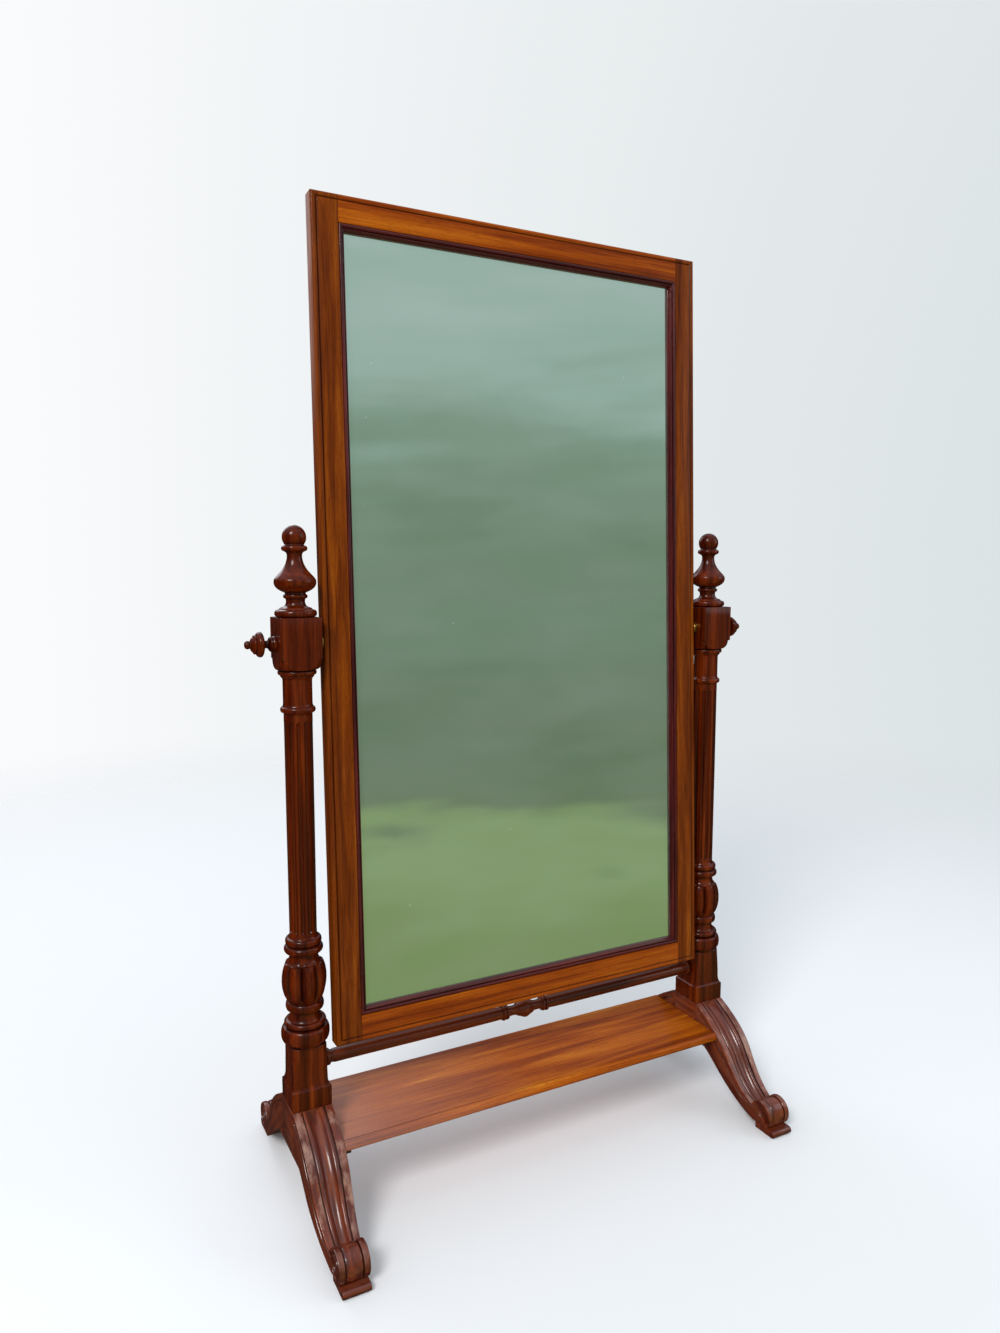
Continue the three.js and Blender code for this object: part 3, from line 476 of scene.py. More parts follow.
def leg_mesh(name):
    """Leg reaching towards +Y with its middle on x = 0, in millimetres."""
    top = np.vstack([respaced(TOP_RUN, RUN_POINTS), SCROLL[1:]])
    seat = respaced(np.array([(190, PAD_HEIGHT + 0.3), SCROLL[-1]]), len(SCROLL))
    under = np.vstack([respaced(UNDERSIDE, RUN_POINTS), seat[1:]])
    ahead = np.gradient(top, axis=0)
    ahead[RUN_POINTS - 1] = top[RUN_POINTS - 1] - top[RUN_POINTS - 2]
    ahead[RUN_POINTS] = SCROLL[2] - SCROLL[1]
    ahead /= np.linalg.norm(ahead, axis=1)[:, None]
    outward = np.stack([-ahead[:, 1], ahead[:, 0]], 1)
    share = np.r_[-RELIEF[::-1, 0], RELIEF[1:, 0]]
    flat_depth = np.r_[RELIEF[::-1, 1], RELIEF[1:, 1]]
    round_depth = np.r_[ROUND[::-1], ROUND[1:]]
    rings = []
    for i, (a, b) in enumerate(zip(top, under)):
        depth = flat_depth if i < RUN_POINTS else round_depth
        fade = min(1.0, (len(top) - 1 - i) / 5)
        half = leg_width(a[0]) / 2
        half_low = leg_width(b[0]) / 2
        line = [(half * s, *(a - outward[i] * d * fade)) for s, d in zip(share[::-1], depth[::-1])]
        reach = b - a
        span = max(np.linalg.norm(reach), 1e-6)
        ease = min(0.8, span * 0.1)
        up = reach / span * ease
        base = [(-half_low, *(b - up)), (-half_low + ease, *b), (half_low - ease, *b), (half_low, *(b - up))]
        rings.append(line + base)
    return shell(name, rings, sharp=30, merge=0.01)


def volute():
    """Line down a leg's side, set in from its top edge, that curls round the eye; as [reach, height]."""
    run = respaced(TOP_RUN, 60)
    ahead = np.gradient(run, axis=0)
    ahead /= np.linalg.norm(ahead, axis=1)[:, None]
    inward = np.stack([ahead[:, 1], -ahead[:, 0]], 1)
    line = (run + inward * SIDE_LINE_INSET)[3:-6]
    angle = np.linspace(170, -250, 70)
    radius = np.interp(angle, [-250, -60, 170], [9.5, 15.5, 18.5])
    curl = EYE_CENTRE + np.stack([np.cos(np.radians(angle)), np.sin(np.radians(angle))], 1) * radius[:, None]
    return respaced(np.vstack([line, curl]), 150)


def eye_tool(side):
    """Round dish sunk in the middle of the volute."""
    outline = [(0.2, -3.0), (3.2, -3.0), (4.8, -2.4), (5.8, -1.0), (6.2, 0.0), (6.6, 1.5), (0.2, 1.5)]
    face = leg_width(SCROLL_CENTRE[0]) / 2
    rings = [[(side * (face + out), EYE_CENTRE[0] + r * math.cos(a), EYE_CENTRE[1] + r * math.sin(a))
              for a in np.arange(24) * math.tau / 24] for r, out in outline]
    return shell("eye", rings)


def side_line(side):
    return [(side * leg_width(s) / 2, s, z) for s, z in volute()]


def on_band(across, reach):
    """1 on the outer bands of a leg's top, near 0 on its beads, hollow and sides, less round the scroll."""
    share = abs(across) / MM / (leg_width(reach / MM) / 2)
    band = float(np.interp(share, [0.5, 0.62, 0.96, 1.0], [0.04, 1.0, 1.0, 0.08]))
    return band * float(np.interp(reach / MM, [170, 195], [1.0, 0.3]))


def moved(mesh, turn_x, turn_y, shift):
    """A copy mirrored in X or Y where asked and shifted, in metres."""
    copy = mesh.copy()
    points = np.array([v.co for v in copy.vertices]) * (turn_x, turn_y, 1) + shift
    copy.vertices.foreach_set("co", points.astype(np.float32).ravel())
    if turn_x * turn_y < 0:
        copy.flip_normals()
    copy.update()
    return copy


plain_leg = leg_mesh("leg")
tools = [swept(side_line(way), SIDE_LINE_RADIUS) for way in (-1, 1)] + [eye_tool(way) for way in (-1, 1)]
carved_leg = cleaned(carved_with(plain_leg, *tools), sharp=30)

nose = arc(PAD_NOSE - 6, PAD_HEIGHT / 2, 6, PAD_HEIGHT / 2 - 0.01, -90, 90, 14)
pad_line = np.vstack([[(PAD_BACK, 0.5), (PAD_BACK + 0.5, 0)], nose, [(PAD_BACK, PAD_HEIGHT)]])
half_pad = FOOT_WIDTH / 2 - PAD_INSET
pad_rings = []
for across, inset in ((-half_pad, 0.8), (-half_pad + 0.3, 0.25), (-half_pad + 0.8, 0), (half_pad - 0.8, 0),
                      (half_pad - 0.3, 0.25), (half_pad, 0.8)):
    middle = np.array([(PAD_BACK + PAD_NOSE) / 2, PAD_HEIGHT / 2])
    size = np.array([(PAD_NOSE - PAD_BACK) / 2, PAD_HEIGHT / 2])
    pad_rings.append([(across, *(middle + (p - middle) * (size - inset) / size)) for p in pad_line])
pad = shell("pad", pad_rings, sharp=35)

for side_name, side in SIDES.items():
    for end_name, end in ENDS.items():
        tag = f"{side_name}_{end_name}"
        shift = (side * POST_X * MM, 0, 0)
        leg = moved(carved_leg, side, end, shift)
        slope = GRAIN_SLOPE * end
        grain_along(leg, lambda co: (co.x, co.y * math.sin(slope) + co.z * math.cos(slope),
                                     co.y * math.cos(slope) - co.z * math.sin(slope)),
                    lambda co: on_band(co.x - shift[0], abs(co.y)))
        settle(f"{tag}_scrolled_leg", leg, rubbed_mahogany, "stand", "carved_mahogany", f"{tag}_leg")
        foot = moved(pad, side, end, shift)
        grain_along(foot, lambda co: (co.y, co.z, co.x))
        settle(f"{tag}_nosed_pad", foot, rubbed_mahogany, "stand", "carved_mahogany", f"{tag}_foot_pad")

# ---------------------------------------------------------------- posts
# Each post is turned from one length of mahogany: a square plinth, a flared foot, rings, a lobed bulb, a
# fluted column and the square block that holds the pivot. Flutes and lobes are then carved evenly round the
# post.
PLINTH = (168, 199)
BLOCK_RANGE = (865, 945)
AROUND = 288
FLUTES = {"Count": 12, "Start": 15.0, "Half_Width": 8.6, "Depth": 0.0027, "Bottom": 0.4505, "Top": 0.7855,
          "End_Length": 0.0036}
LOBES = {"Count": 8, "Start": 22.5, "Half_Width": 22.5, "Depth": 0.0074, "Bottom": 0.3395, "Top": 0.4035,
         "End_Length": 0.012, "Lobed": 1.0}
CREASE_SHARPNESS = 2.6


def roll(root, reach, high, low, steps=10):
    """Half-round ring from one height up to another."""
    return arc(root, (high + low) / 2, reach - root, (high - low) / 2, -90, 90, steps)


def polygon(half=None, diamond=None, lathe=None, sharpness=44):
    """Distance at each angle from the axis to a square with cut corners and rounded arrises."""
    angle = np.arange(AROUND) * math.tau / AROUND
    cos, sin = np.abs(np.cos(angle)), np.abs(np.sin(angle))
    total = np.zeros(AROUND)
    if half:
        total += (cos / half) ** sharpness + (sin / half) ** sharpness
    if diamond:
        total += ((cos + sin) / diamond) ** sharpness
    if lathe:
        total += np.full(AROUND, (1 / lathe) ** sharpness)
    return total ** (-1 / sharpness)


def post_rows():
    """Rows up the post as (distances from the axis, height)."""
    rows = [(polygon(31.4), PLINTH[0]), (polygon(32), PLINTH[0] + 0.5), (polygon(32), 176),
            (polygon(32), 190), (polygon(32), PLINTH[1] - 1.0), (polygon(31.9), PLINTH[1] - 0.3),
            (polygon(31.5), PLINTH[1])]
    flare = np.vstack([bezier((31.3, PLINTH[1] + 0.3), (29.2, 200.6), (27.7, 205), (27.5, 214), 18),
                       bezier((27.5, 214), (27.3, 230), (27.7, 248), (28.2, 266.5), 20)[1:]])
    corner_cut = np.vstack([bezier((63.4, PLINTH[1]), (58.6, 200.8), (55.4, 205), (54.8, 214), 18),
                            bezier((54.8, 214), (53.8, 230), (50.4, 250), (48.8, 269), 20)])
    for half, z in flare:
        rows.append((polygon(half, np.interp(z, corner_cut[:, 1], corner_cut[:, 0])), z))
    rows.append((polygon(27.4, 47.6), 267.5))
    rows.append((polygon(26.9, 47.0), 268))
    shaft = [[(30.8, 268.2), (31, 269), (31, 271.4)], roll(33.5, 38.2, 296, 272, 22), [(32.4, 296.2)],
             roll(29, 33, 307, 297.5, 12), [(27, 307.4)],
             bezier((26.4, 308), (24.4, 310), (23.2, 314), (23, 321), 8), [(25.4, 322.6)],
             roll(27, 30, 337, 323.5, 14), [(26.4, 337.5)],
             arc(20, 372, 15.8, 36, -50, 50, 46), bezier((28.6, 400.2), (25, 402), (22.5, 406), (22, 415), 8),
             [(24.6, 416.4)], roll(26, 30.6, 429, 417, 12), [(26, 429.6)], roll(25, 28.4, 441, 430, 12),
             [(23.4, 441.6), (22.3, 443.4), (21.5, 446.6), (21.4, 448)]]
    column = [*(448.6 + 0.5 * k for k in range(14)), *np.linspace(460, 776, 27),
              *(777 + 0.5 * k for k in range(17))]
    shaft.append([(np.interp(z, [448, 620, 795], [21.4, 21.9, 22.0]), z) for z in column])
    shaft += [[(22.0, 790), (21.9, 796), (22.1, 797.6), (22.8, 798.6)], roll(23.5, 26.9, 808, 799, 12),
              bezier((23.6, 808.6), (22.6, 810), (22.4, 812), (22.4, 816), 5), [(22.4, 832), (22.4, 846)],
              bezier((22.4, 849), (22.6, 851.4), (24, 853.4), (25.6, 854.4), 5), [(25.8, 856.6)],
              roll(26.5, 29.6, 864.6, 857, 10)]
    for group in shaft:
        rows += [(np.full(AROUND, r), z) for r, z in group]
    for r, z in bezier((30.2, BLOCK_RANGE[0]), (37, 867), (40, 873), (40.7, 881), 14):
        rows.append((polygon(32, lathe=r, sharpness=60), z))
    rows += [(polygon(32, lathe=44.5), 881.6), (polygon(32), 882.4), (polygon(32), 900), (polygon(32), 925),
             (polygon(32), BLOCK_RANGE[1] - 0.9), (polygon(31.7), BLOCK_RANGE[1] - 0.3),
             (polygon(31.2), BLOCK_RANGE[1])]
    return rows


def ringed(name, rows, x=0.0, sharp=32):
    """Turning stood at x, from rows of (distance or distances from the axis, height)."""
    angle = np.arange(AROUND) * math.tau / AROUND
    rings = []
    for radius, z in rows:
        rings.append(np.stack([x + np.cos(angle) * radius, np.sin(angle) * radius, np.full(AROUND, z)], 1))
    return shell(name, rings, sharp=sharp)


def inputs_of(tree):
    return {item.name: item.identifier for item in tree.interface.items_tree
            if item.item_type == "SOCKET" and item.in_out == "INPUT"}


def new_tree(name, **sizes):
    """Geometry tree with a Geometry input, named inputs for its sizes and a Material input."""
    tree = bpy.data.node_groups.new(name, "GeometryNodeTree")
    tree.interface.new_socket("Geometry", in_out="INPUT", socket_type="NodeSocketGeometry")
    for label in sizes:
        kind = "NodeSocketInt" if isinstance(sizes[label], int) else "NodeSocketFloat"
        socket = tree.interface.new_socket(label.replace("_", " "), in_out="INPUT", socket_type=kind)
        socket.default_value = sizes[label]
    tree.interface.new_socket("Material", in_out="INPUT", socket_type="NodeSocketMaterial")
    tree.interface.new_socket("Geometry", in_out="OUTPUT", socket_type="NodeSocketGeometry")
    return tree, add(tree, "NodeGroupInput")


def finish_tree(tree, geometry, source):
    """Ends a tree in Realize Instances and Set Material."""
    real = add(tree, "GeometryNodeRealizeInstances", {"Geometry": geometry})
    dressed = add(tree, "GeometryNodeSetMaterial", {"Geometry": real.outputs[0],
                                                    "Material": source.outputs["Material"]})
    add(tree, "NodeGroupOutput", {"Geometry": dressed.outputs[0]})


def grown(mesh, tree, material, **values):
    """The plain mesh that a geometry tree makes from a mesh with these values."""
    holder = bpy.data.objects.new("growing", mesh)
    scene.collection.objects.link(holder)
    step = holder.modifiers.new("tree", "NODES")
    step.node_group = tree
    sockets = inputs_of(tree)
    step[sockets["Material"]] = material
    for label, value in values.items():
        step[sockets[label.replace("_", " ")]] = value
    bpy.context.view_layer.update()
    made = bpy.data.meshes.new_from_object(holder.evaluated_get(bpy.context.evaluated_depsgraph_get()))
    holder.modifiers.clear()
    bpy.data.objects.remove(holder)
    return made


def carving_tree():
    """Hollows spaced evenly round an upright turning. Each is Half Width degrees to either side of its
    middle and runs from Bottom to Top, with ends as round as End Length. Lobed at 1 turns the hollows into
    swells with a crease between."""
    tree, source = new_tree("carving_round_a_turning", Axis_X=0.0, Count=12, Start=0.0, Half_Width=8.0,
                            Depth=0.003, Bottom=0.45, Top=0.78, End_Length=0.004, Lobed=0.0)
    part = add(tree, "ShaderNodeSeparateXYZ", {0: add(tree, "GeometryNodeInputPosition").outputs[0]})
    value = {socket.name: socket for socket in (*source.outputs, *part.outputs)}
    # Each step's name, what it does, and the values or earlier steps that it takes.
    steps = [
        ("x", "SUBTRACT", "X", "Axis X"),
        ("angle", "ARCTAN2", "Y", "x"),
        ("degrees", "MULTIPLY", "angle", 180 / math.pi),
        ("pitch", "DIVIDE", 360.0, "Count"),
        ("half pitch", "MULTIPLY", "pitch", 0.5),
        ("less half", "MULTIPLY", "pitch", -0.5),
        ("turned", "SUBTRACT", "degrees", "Start"),
        ("offset", "WRAP", "turned", "half pitch", "less half"),
        ("u", "DIVIDE", "offset", "Half Width"),
        ("full from", "ADD", "Bottom", "End Length"),
        ("below", "SUBTRACT", "full from", "Z"),
        ("full to", "SUBTRACT", "Top", "End Length"),
        ("above", "SUBTRACT", "Z", "full to"),
        ("outside", "MAXIMUM", "below", "above"),
        ("beyond", "MAXIMUM", "outside", 0.0),
        ("v", "DIVIDE", "beyond", "End Length"),
        ("v2", "MULTIPLY", "v", "v"),
        ("u2", "MULTIPLY", "u", "u"),
        ("spread", "ADD", "u2", "v2"),
        ("left over", "SUBTRACT", 1.0, "spread"),
        ("inside", "MAXIMUM", "left over", 0.0),
        ("hollow", "SQRT", "inside"),
        ("u size", "ABSOLUTE", "u"),
        ("u capped", "MINIMUM", "u size", 1.0),
        ("swell", "SUBTRACT", 1.0, "u capped"),
        ("crease", "POWER", "swell", CREASE_SHARPNESS),
        ("end share", "SUBTRACT", 1.0, "v2"),
        ("end fade", "MAXIMUM", "end share", 0.0),
        ("sheen_share", "MULTIPLY", "crease", "end fade"),
        ("change", "SUBTRACT", "sheen_share", "hollow"),
        ("chosen", "MULTIPLY_ADD", "Lobed", "change", "hollow"),
        ("depth", "MULTIPLY", "chosen", "Depth"),
        ("x2", "MULTIPLY", "x", "x"),
        ("y2", "MULTIPLY", "Y", "Y"),
        ("radius 2", "ADD", "x2", "y2"),
        ("radius", "SQRT", "radius 2"),
        ("inwards", "MULTIPLY", "depth", -1.0),
        ("safe radius", "MAXIMUM", "radius", 0.001),
        ("ratio", "DIVIDE", "inwards", "safe radius"),
        ("move x", "MULTIPLY", "x", "ratio"),
        ("move y", "MULTIPLY", "Y", "ratio")]
    for name, operation, *terms in steps:
        sockets = {i: value.get(term, term) for i, term in enumerate(terms)}
        value[name] = add(tree, "ShaderNodeMath", sockets, operation=operation).outputs[0]
    move = add(tree, "ShaderNodeCombineXYZ", {0: value["move x"], 1: value["move y"]})
    carved = add(tree, "GeometryNodeSetPosition", {"Geometry": value["Geometry"], "Offset": move.outputs[0]})
    finish_tree(tree, carved.outputs[0], source)
    return tree


# Turned work: the darkest, reddest mahogany, under a deep gloss that the lathe and the rubber have left even.
TURNED_SHADES = ["1e0300", "3c0d00", "561a00", "762e04"]
# The turned work gets the strongest painted shade, in its flutes, lobe creases and ring steps.
turned_mahogany = mahogany("turned_french_polished_mahogany", TURNED_SHADES, coat=0.35, rough=0.24, figure=16,
                           painted_shade=0.95, shine=0.08)
carving = carving_tree()

for side_name, side in SIDES.items():
    x = side * POST_X
    blank = ringed(f"{side_name}_post", post_rows(), x)
    fluted = grown(blank, carving, turned_mahogany, Axis_X=x * MM, **FLUTES)
    lobed = grown(fluted, carving, turned_mahogany, Axis_X=x * MM, **LOBES)
    lobed = cleaned(lobed, sharp=28)
    settle(f"{side_name}_fluted_post", lobed, turned_mahogany, "stand", "turned_mahogany",
           f"{side_name}_post")

# ---------------------------------------------------------------- stretcher rail
# A slim turned rail ties the two posts together. It has a knop of rings at its middle and a collar at each
# end, and its round tenons are glued into the flared feet of the posts.
STRETCHER_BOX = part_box("stretcher_rail")
STRETCHER_Z = (STRETCHER_BOX[0].z + STRETCHER_BOX[1].z) / 2 / MM
STRETCHER_END = STRETCHER_BOX[1].x / MM


def spun(name, outline, sides=96, sharp=30):
    """Turning round Z in millimetres, closed at both ends, from an outline of [radius, height]."""
    angle = np.arange(sides) * math.tau / sides
    rings = [np.stack([np.cos(angle) * r, np.sin(angle) * r, np.full(sides, z)], 1) for r, z in outline]
    return shell(name, rings, sharp=sharp)


def laid_along_x(mesh, way, shift):
    """The same turning lying along X, with +Z turned to way along X, shifted by metres."""
    points = np.array([v.co for v in mesh.vertices])
    turned_points = np.stack([way * points[:, 2], points[:, 1], points[:, 0] * -way], 1) + shift
    mesh.vertices.foreach_set("co", turned_points.astype(np.float32).ravel())
    mesh.update()
    return cleaned(mesh, 30)


def flat_list(*groups):
    return [tuple(p) for group in groups for p in group]


TENON_LENGTH = 21
collar = STRETCHER_END - TENON_LENGTH
half_rail = flat_list(
    [(7.2, collar + TENON_LENGTH), (8, collar + 20), (8, collar + 0.2), (11.8, collar)],
    roll(12.4, 13.6, collar - 0.2, collar - 7)[::-1], [(11.4, collar - 7.6)],
    bezier((10.4, collar - 8), (9.6, collar - 10), (10.4, collar - 13), (11, collar - 15), 6),
    [(11.2, 200), (11.3, 120), (11, 60), (10.7, 50), (10.6, 47)], roll(11.5, 13.8, 46.4, 40.6)[::-1],
    [(10.9, 40.2)], roll(11, 13.2, 39.8, 34)[::-1], [(10.2, 33.4)],
    bezier((9.6, 32.8), (8.4, 30), (8.2, 24), (8.9, 19), 8), [(9.6, 16.4), (10.6, 15.6), (11.2, 14.6)],
    bezier((11.6, 13.6), (12.6, 10), (14.4, 6.4), (15.6, 3.4), 6), [(16.2, 1.4)])
rail_outline = (half_rail + [(r, -x) for r, x in half_rail[::-1]])[::-1]
# The same turned mahogany, a little browner than the posts, with its grain along the rail.
TURNED_RAIL_SHADES = ["280802", "4a1806", "60240a", "783412"]
rail_mahogany = mahogany("turned_mahogany_along_x", TURNED_RAIL_SHADES, axis="x", coat=0.45, rough=0.26,
                         figure=14)
rail = laid_along_x(spun("stretcher", rail_outline, 80), 1, (0, 0, STRETCHER_Z * MM))
settle("turned_stretcher", rail, rail_mahogany, "stand", "turned_mahogany", "stretcher_rail")

# ---------------------------------------------------------------- shelf, cleats and cleat screws
# The shelf is one wide mahogany board with rounded edges and a cut line behind its front edge. It rests on
# two cleats of stained beech, each fixed to a pair of legs by countersunk steel screws.
shelf_low, shelf_high = (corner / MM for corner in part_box("shelf"))
EDGE_ROUND = 5
LINE_IN, LINE_WIDTH, LINE_DEPTH = 9.0, 1.6, 1.1
CLEAT_SCREW = {"head_mm": 3.6, "length_mm": 28}
# Waxed mahogany with little gloss: the orange of the lightest wood, with a pinkish sheen painted over it
# towards its left.
SHELF_SHADES = ["4c1600", "8a3c00", "ac5806", "d48c20"]
shelf_mahogany = mahogany("waxed_mahogany_shelf", SHELF_SHADES, axis="x", wear_and_sheen_shade="a8867c", coat=0.12,
                          rough=0.4, figure=26, painted_shade=0.5, shine=0.1, painted_sheen=0.4)


def shelf_section(inset):
    """Outline across the board, [y, z] in millimetres, drawn in by inset."""
    y0, y1 = shelf_low[1] + inset, shelf_high[1] - inset
    z0, z1 = shelf_low[2] + inset, shelf_high[2] - inset
    middle, thick = (z0 + z1) / 2, (z1 - z0) / 2
    near, far = shelf_low[1] + LINE_IN, shelf_low[1] + LINE_IN + LINE_WIDTH
    turn = np.radians(np.linspace(-90, 90, 15))
    front = [(y0 + EDGE_ROUND * (1 - math.cos(a)), middle + thick * math.sin(a)) for a in turn]
    cut = [(near - 0.5, z1), (near - 0.1, z1 - 0.25), (near + 0.3, z1 - LINE_DEPTH),
           (far - 0.3, z1 - LINE_DEPTH), (far + 0.1, z1 - 0.25), (far + 0.5, z1)]
    across = [(y, z1) for y in np.linspace(far + 5, y1 - 8, 7)]
    back = [(y1 - EDGE_ROUND * (1 - math.cos(a)), middle + thick * math.sin(a)) for a in turn[::-1]]
    return front + cut + across + back


shelf_rings = [[(x, y, z) for y, z in shelf_section(inset)] for x, inset in (
    (shelf_low[0], 0.7), (shelf_low[0] + 0.25, 0.2), (shelf_low[0] + 0.8, 0), (-180, 0), (0, 0), (180, 0),
    (shelf_high[0] - 0.8, 0), (shelf_high[0] - 0.25, 0.2), (shelf_high[0], 0.7))]
shelf_board = shell("shelf", shelf_rings, sharp=25)
settle("moulded_shelf", shelf_board, shelf_mahogany, "stand", "shelf_mahogany", "shelf")

# Beech stained to match the mahogany: dark red brown and dull, with the flecks showing through.
stained_beech = plain_wood("stained_beech", ["34150b", "4a2010", "5e2c16"], "y", 0.009)
for side_name in SIDES:
    low, high = (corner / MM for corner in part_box(f"{side_name}_shelf_cleat"))
    cleat = bar(f"{side_name}_cleat", low, high, ease=0.9, axis=1)
    settle(f"{side_name}_cleat", cleat, stained_beech, "stand", "beech", f"{side_name}_shelf_cleat")


# Space between the fine scratches on metal in millimetres, drawn coarser than real ones to show.
SCRATCH = 1.2


def metal(name, shade, dull_shade, rough):
    """Cast or drawn metal that has dulled unevenly: brighter where it is handled, with fine scratches."""
    material, tree = new_material(name)
    spot = add(tree, "ShaderNodeTexCoord").outputs["Object"]
    patches = add(tree, "ShaderNodeTexNoise", {"Vector": spot, "Scale": 160.0, "Detail": 5, "Roughness": 0.6})
    mixed = add(tree, "ShaderNodeMapRange", {0: patches.outputs["Fac"], 1: 0.38, 2: 0.66})
    colour = add(tree, "ShaderNodeMix", {0: mixed.outputs[0], 6: linear(shade), 7: linear(dull_shade)},
                 data_type="RGBA")
    drawn_out = add(tree, "ShaderNodeMapping", {"Vector": spot, "Scale": (1 / (SCRATCH * MM), 900, 120)})
    scratches = add(tree, "ShaderNodeTexNoise", {"Vector": drawn_out.outputs[0], "Scale": 1.0, "Detail": 3})
    gloss = add(tree, "ShaderNodeMapRange", {0: scratches.outputs["Fac"], 1: 0.3, 2: 0.7, 3: rough - 0.08,
                                             4: rough + 0.15})
    relief = add(tree, "ShaderNodeBump", {"Height": scratches.outputs["Fac"], "Strength": 0.1,
                                          "Distance": 0.0002})
    shader = add(tree, "ShaderNodeBsdfPrincipled", {
        "Base Color": colour.outputs[2], "Metallic": 1.0, "Roughness": gloss.outputs[0],
        "Normal": relief.outputs[0]})
    add(tree, "ShaderNodeOutputMaterial", {"Surface": shader.outputs[0]})
    return material


# Brass gone brown-gold with age, still bright in patches; steel blued and grey with a dull bloom.
brass = metal("aged_lacquered_brass", "c79a4a", "7d5a28", 0.34)
steel = metal("dull_drawn_steel", "8d8c8a", "4d4a47", 0.42)


def screw_tree():
    """A countersunk wood screw at every point of the mesh: head up the point's facing, slot turned at
    random."""
    tree, source = new_tree("slotted_screws", Head_Radius=0.0036, Length=0.028, Slot_Width=0.001,
                            Slot_Depth=0.0009)
    value = {socket.name: socket for socket in source.outputs}
    for name, operation, *terms in (
        ("shank", "MULTIPLY", "Head Radius", 0.5),
        ("sunk", "MULTIPLY", "Head Radius", -1.0),
        ("slot deep", "MULTIPLY", "Slot Depth", 2.0),
        ("slot long", "MULTIPLY", "Head Radius", 2.4),
        ("body long", "SUBTRACT", "Length", "Head Radius"),
        ("down", "MULTIPLY", "Length", -1.0)):
        sockets = {i: value.get(term, term) for i, term in enumerate(terms)}
        value[name] = add(tree, "ShaderNodeMath", sockets, operation=operation).outputs[0]
    cone = add(tree, "GeometryNodeMeshCone", {"Vertices": 24, "Radius Top": value["Head Radius"],
                                              "Radius Bottom": value["shank"], "Depth": value["Head Radius"]})
    sunk = add(tree, "ShaderNodeCombineXYZ", {2: value["sunk"]}).outputs[0]
    head = add(tree, "GeometryNodeTransform", {"Geometry": cone.outputs[0], "Translation": sunk})
    slot_size = add(tree, "ShaderNodeCombineXYZ", {0: value["slot long"], 1: value["Slot Width"],
                                                   2: value["slot deep"]}).outputs[0]
    slot = add(tree, "GeometryNodeMeshCube", {"Size": slot_size})
    slotted = add(tree, "GeometryNodeMeshBoolean", {"Mesh 1": head.outputs[0], "Mesh 2": slot.outputs[0]},
                  operation="DIFFERENCE", solver="MANIFOLD")
    body = add(tree, "GeometryNodeMeshCone", {"Vertices": 16, "Radius Top": value["shank"],
                                              "Radius Bottom": 0.0003, "Depth": value["body long"]})
    down = add(tree, "ShaderNodeCombineXYZ", {2: value["down"]}).outputs[0]
    body = add(tree, "GeometryNodeTransform", {"Geometry": body.outputs[0], "Translation": down})
    screw = add(tree, "GeometryNodeJoinGeometry")
    for part in (slotted.outputs[0], body.outputs[0]):
        tree.links.new(part, screw.inputs[0])
    points = add(tree, "GeometryNodeMeshToPoints", {"Mesh": value["Geometry"]})
    facing = add(tree, "GeometryNodeInputNamedAttribute", {"Name": "facing"}, data_type="FLOAT_VECTOR")
    upright = add(tree, "FunctionNodeAlignRotationToVector", {"Vector": facing.outputs[0]}, axis="Z")
    turn = add(tree, "FunctionNodeRandomValue", {2: 0.0, 3: 6.0, "Seed": 7}, data_type="FLOAT")
    spin = add(tree, "ShaderNodeCombineXYZ", {2: turn.outputs[1]}).outputs[0]
    turned = add(tree, "FunctionNodeRotateRotation", {"Rotation": upright.outputs[0], "Rotate By": spin},
                 rotation_space="LOCAL")
    placed = add(tree, "GeometryNodeInstanceOnPoints", {
        "Points": points.outputs[0], "Instance": screw.outputs[0], "Rotation": turned.outputs[0]})
    finish_tree(tree, placed.outputs[0], source)
    return tree


screws = screw_tree()


def screw_set(name, places, facings, material, head_mm, length_mm):
    """Screws with their heads at these places in metres, each facing its way."""
    mesh = bpy.data.meshes.new(name)
    mesh.from_pydata([tuple(p) for p in places], [], [])
    facing = mesh.attributes.new("facing", "FLOAT_VECTOR", "POINT")
    for i, way in enumerate(facings):
        facing.data[i].vector = way
    made = grown(mesh, screws, material, Head_Radius=head_mm * MM, Length=length_mm * MM, Slot_Width=0.001,
                 Slot_Depth=0.0009)
    made.shade_smooth()
    made.set_sharp_from_angle(angle=math.radians(30))
    return made


cleat_places, cleat_facings, cleat_nodes = [], [], []
for side_name, side in SIDES.items():
    for end_name in ENDS:
        node_name = f"{side_name}_{end_name}_cleat_screw"
        low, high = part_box(node_name)
        inner = low.x if side > 0 else high.x
        cleat_places.append((inner, (low.y + high.y) / 2, (low.z + high.z) / 2))
        cleat_facings.append((-side, 0, 0))
        cleat_nodes.append(node_name)
cleat_screws = screw_set("cleat_screws", cleat_places, cleat_facings, steel, **CLEAT_SCREW)
settle("cleat_screws", cleat_screws, steel, "stand", "steel", *cleat_nodes)

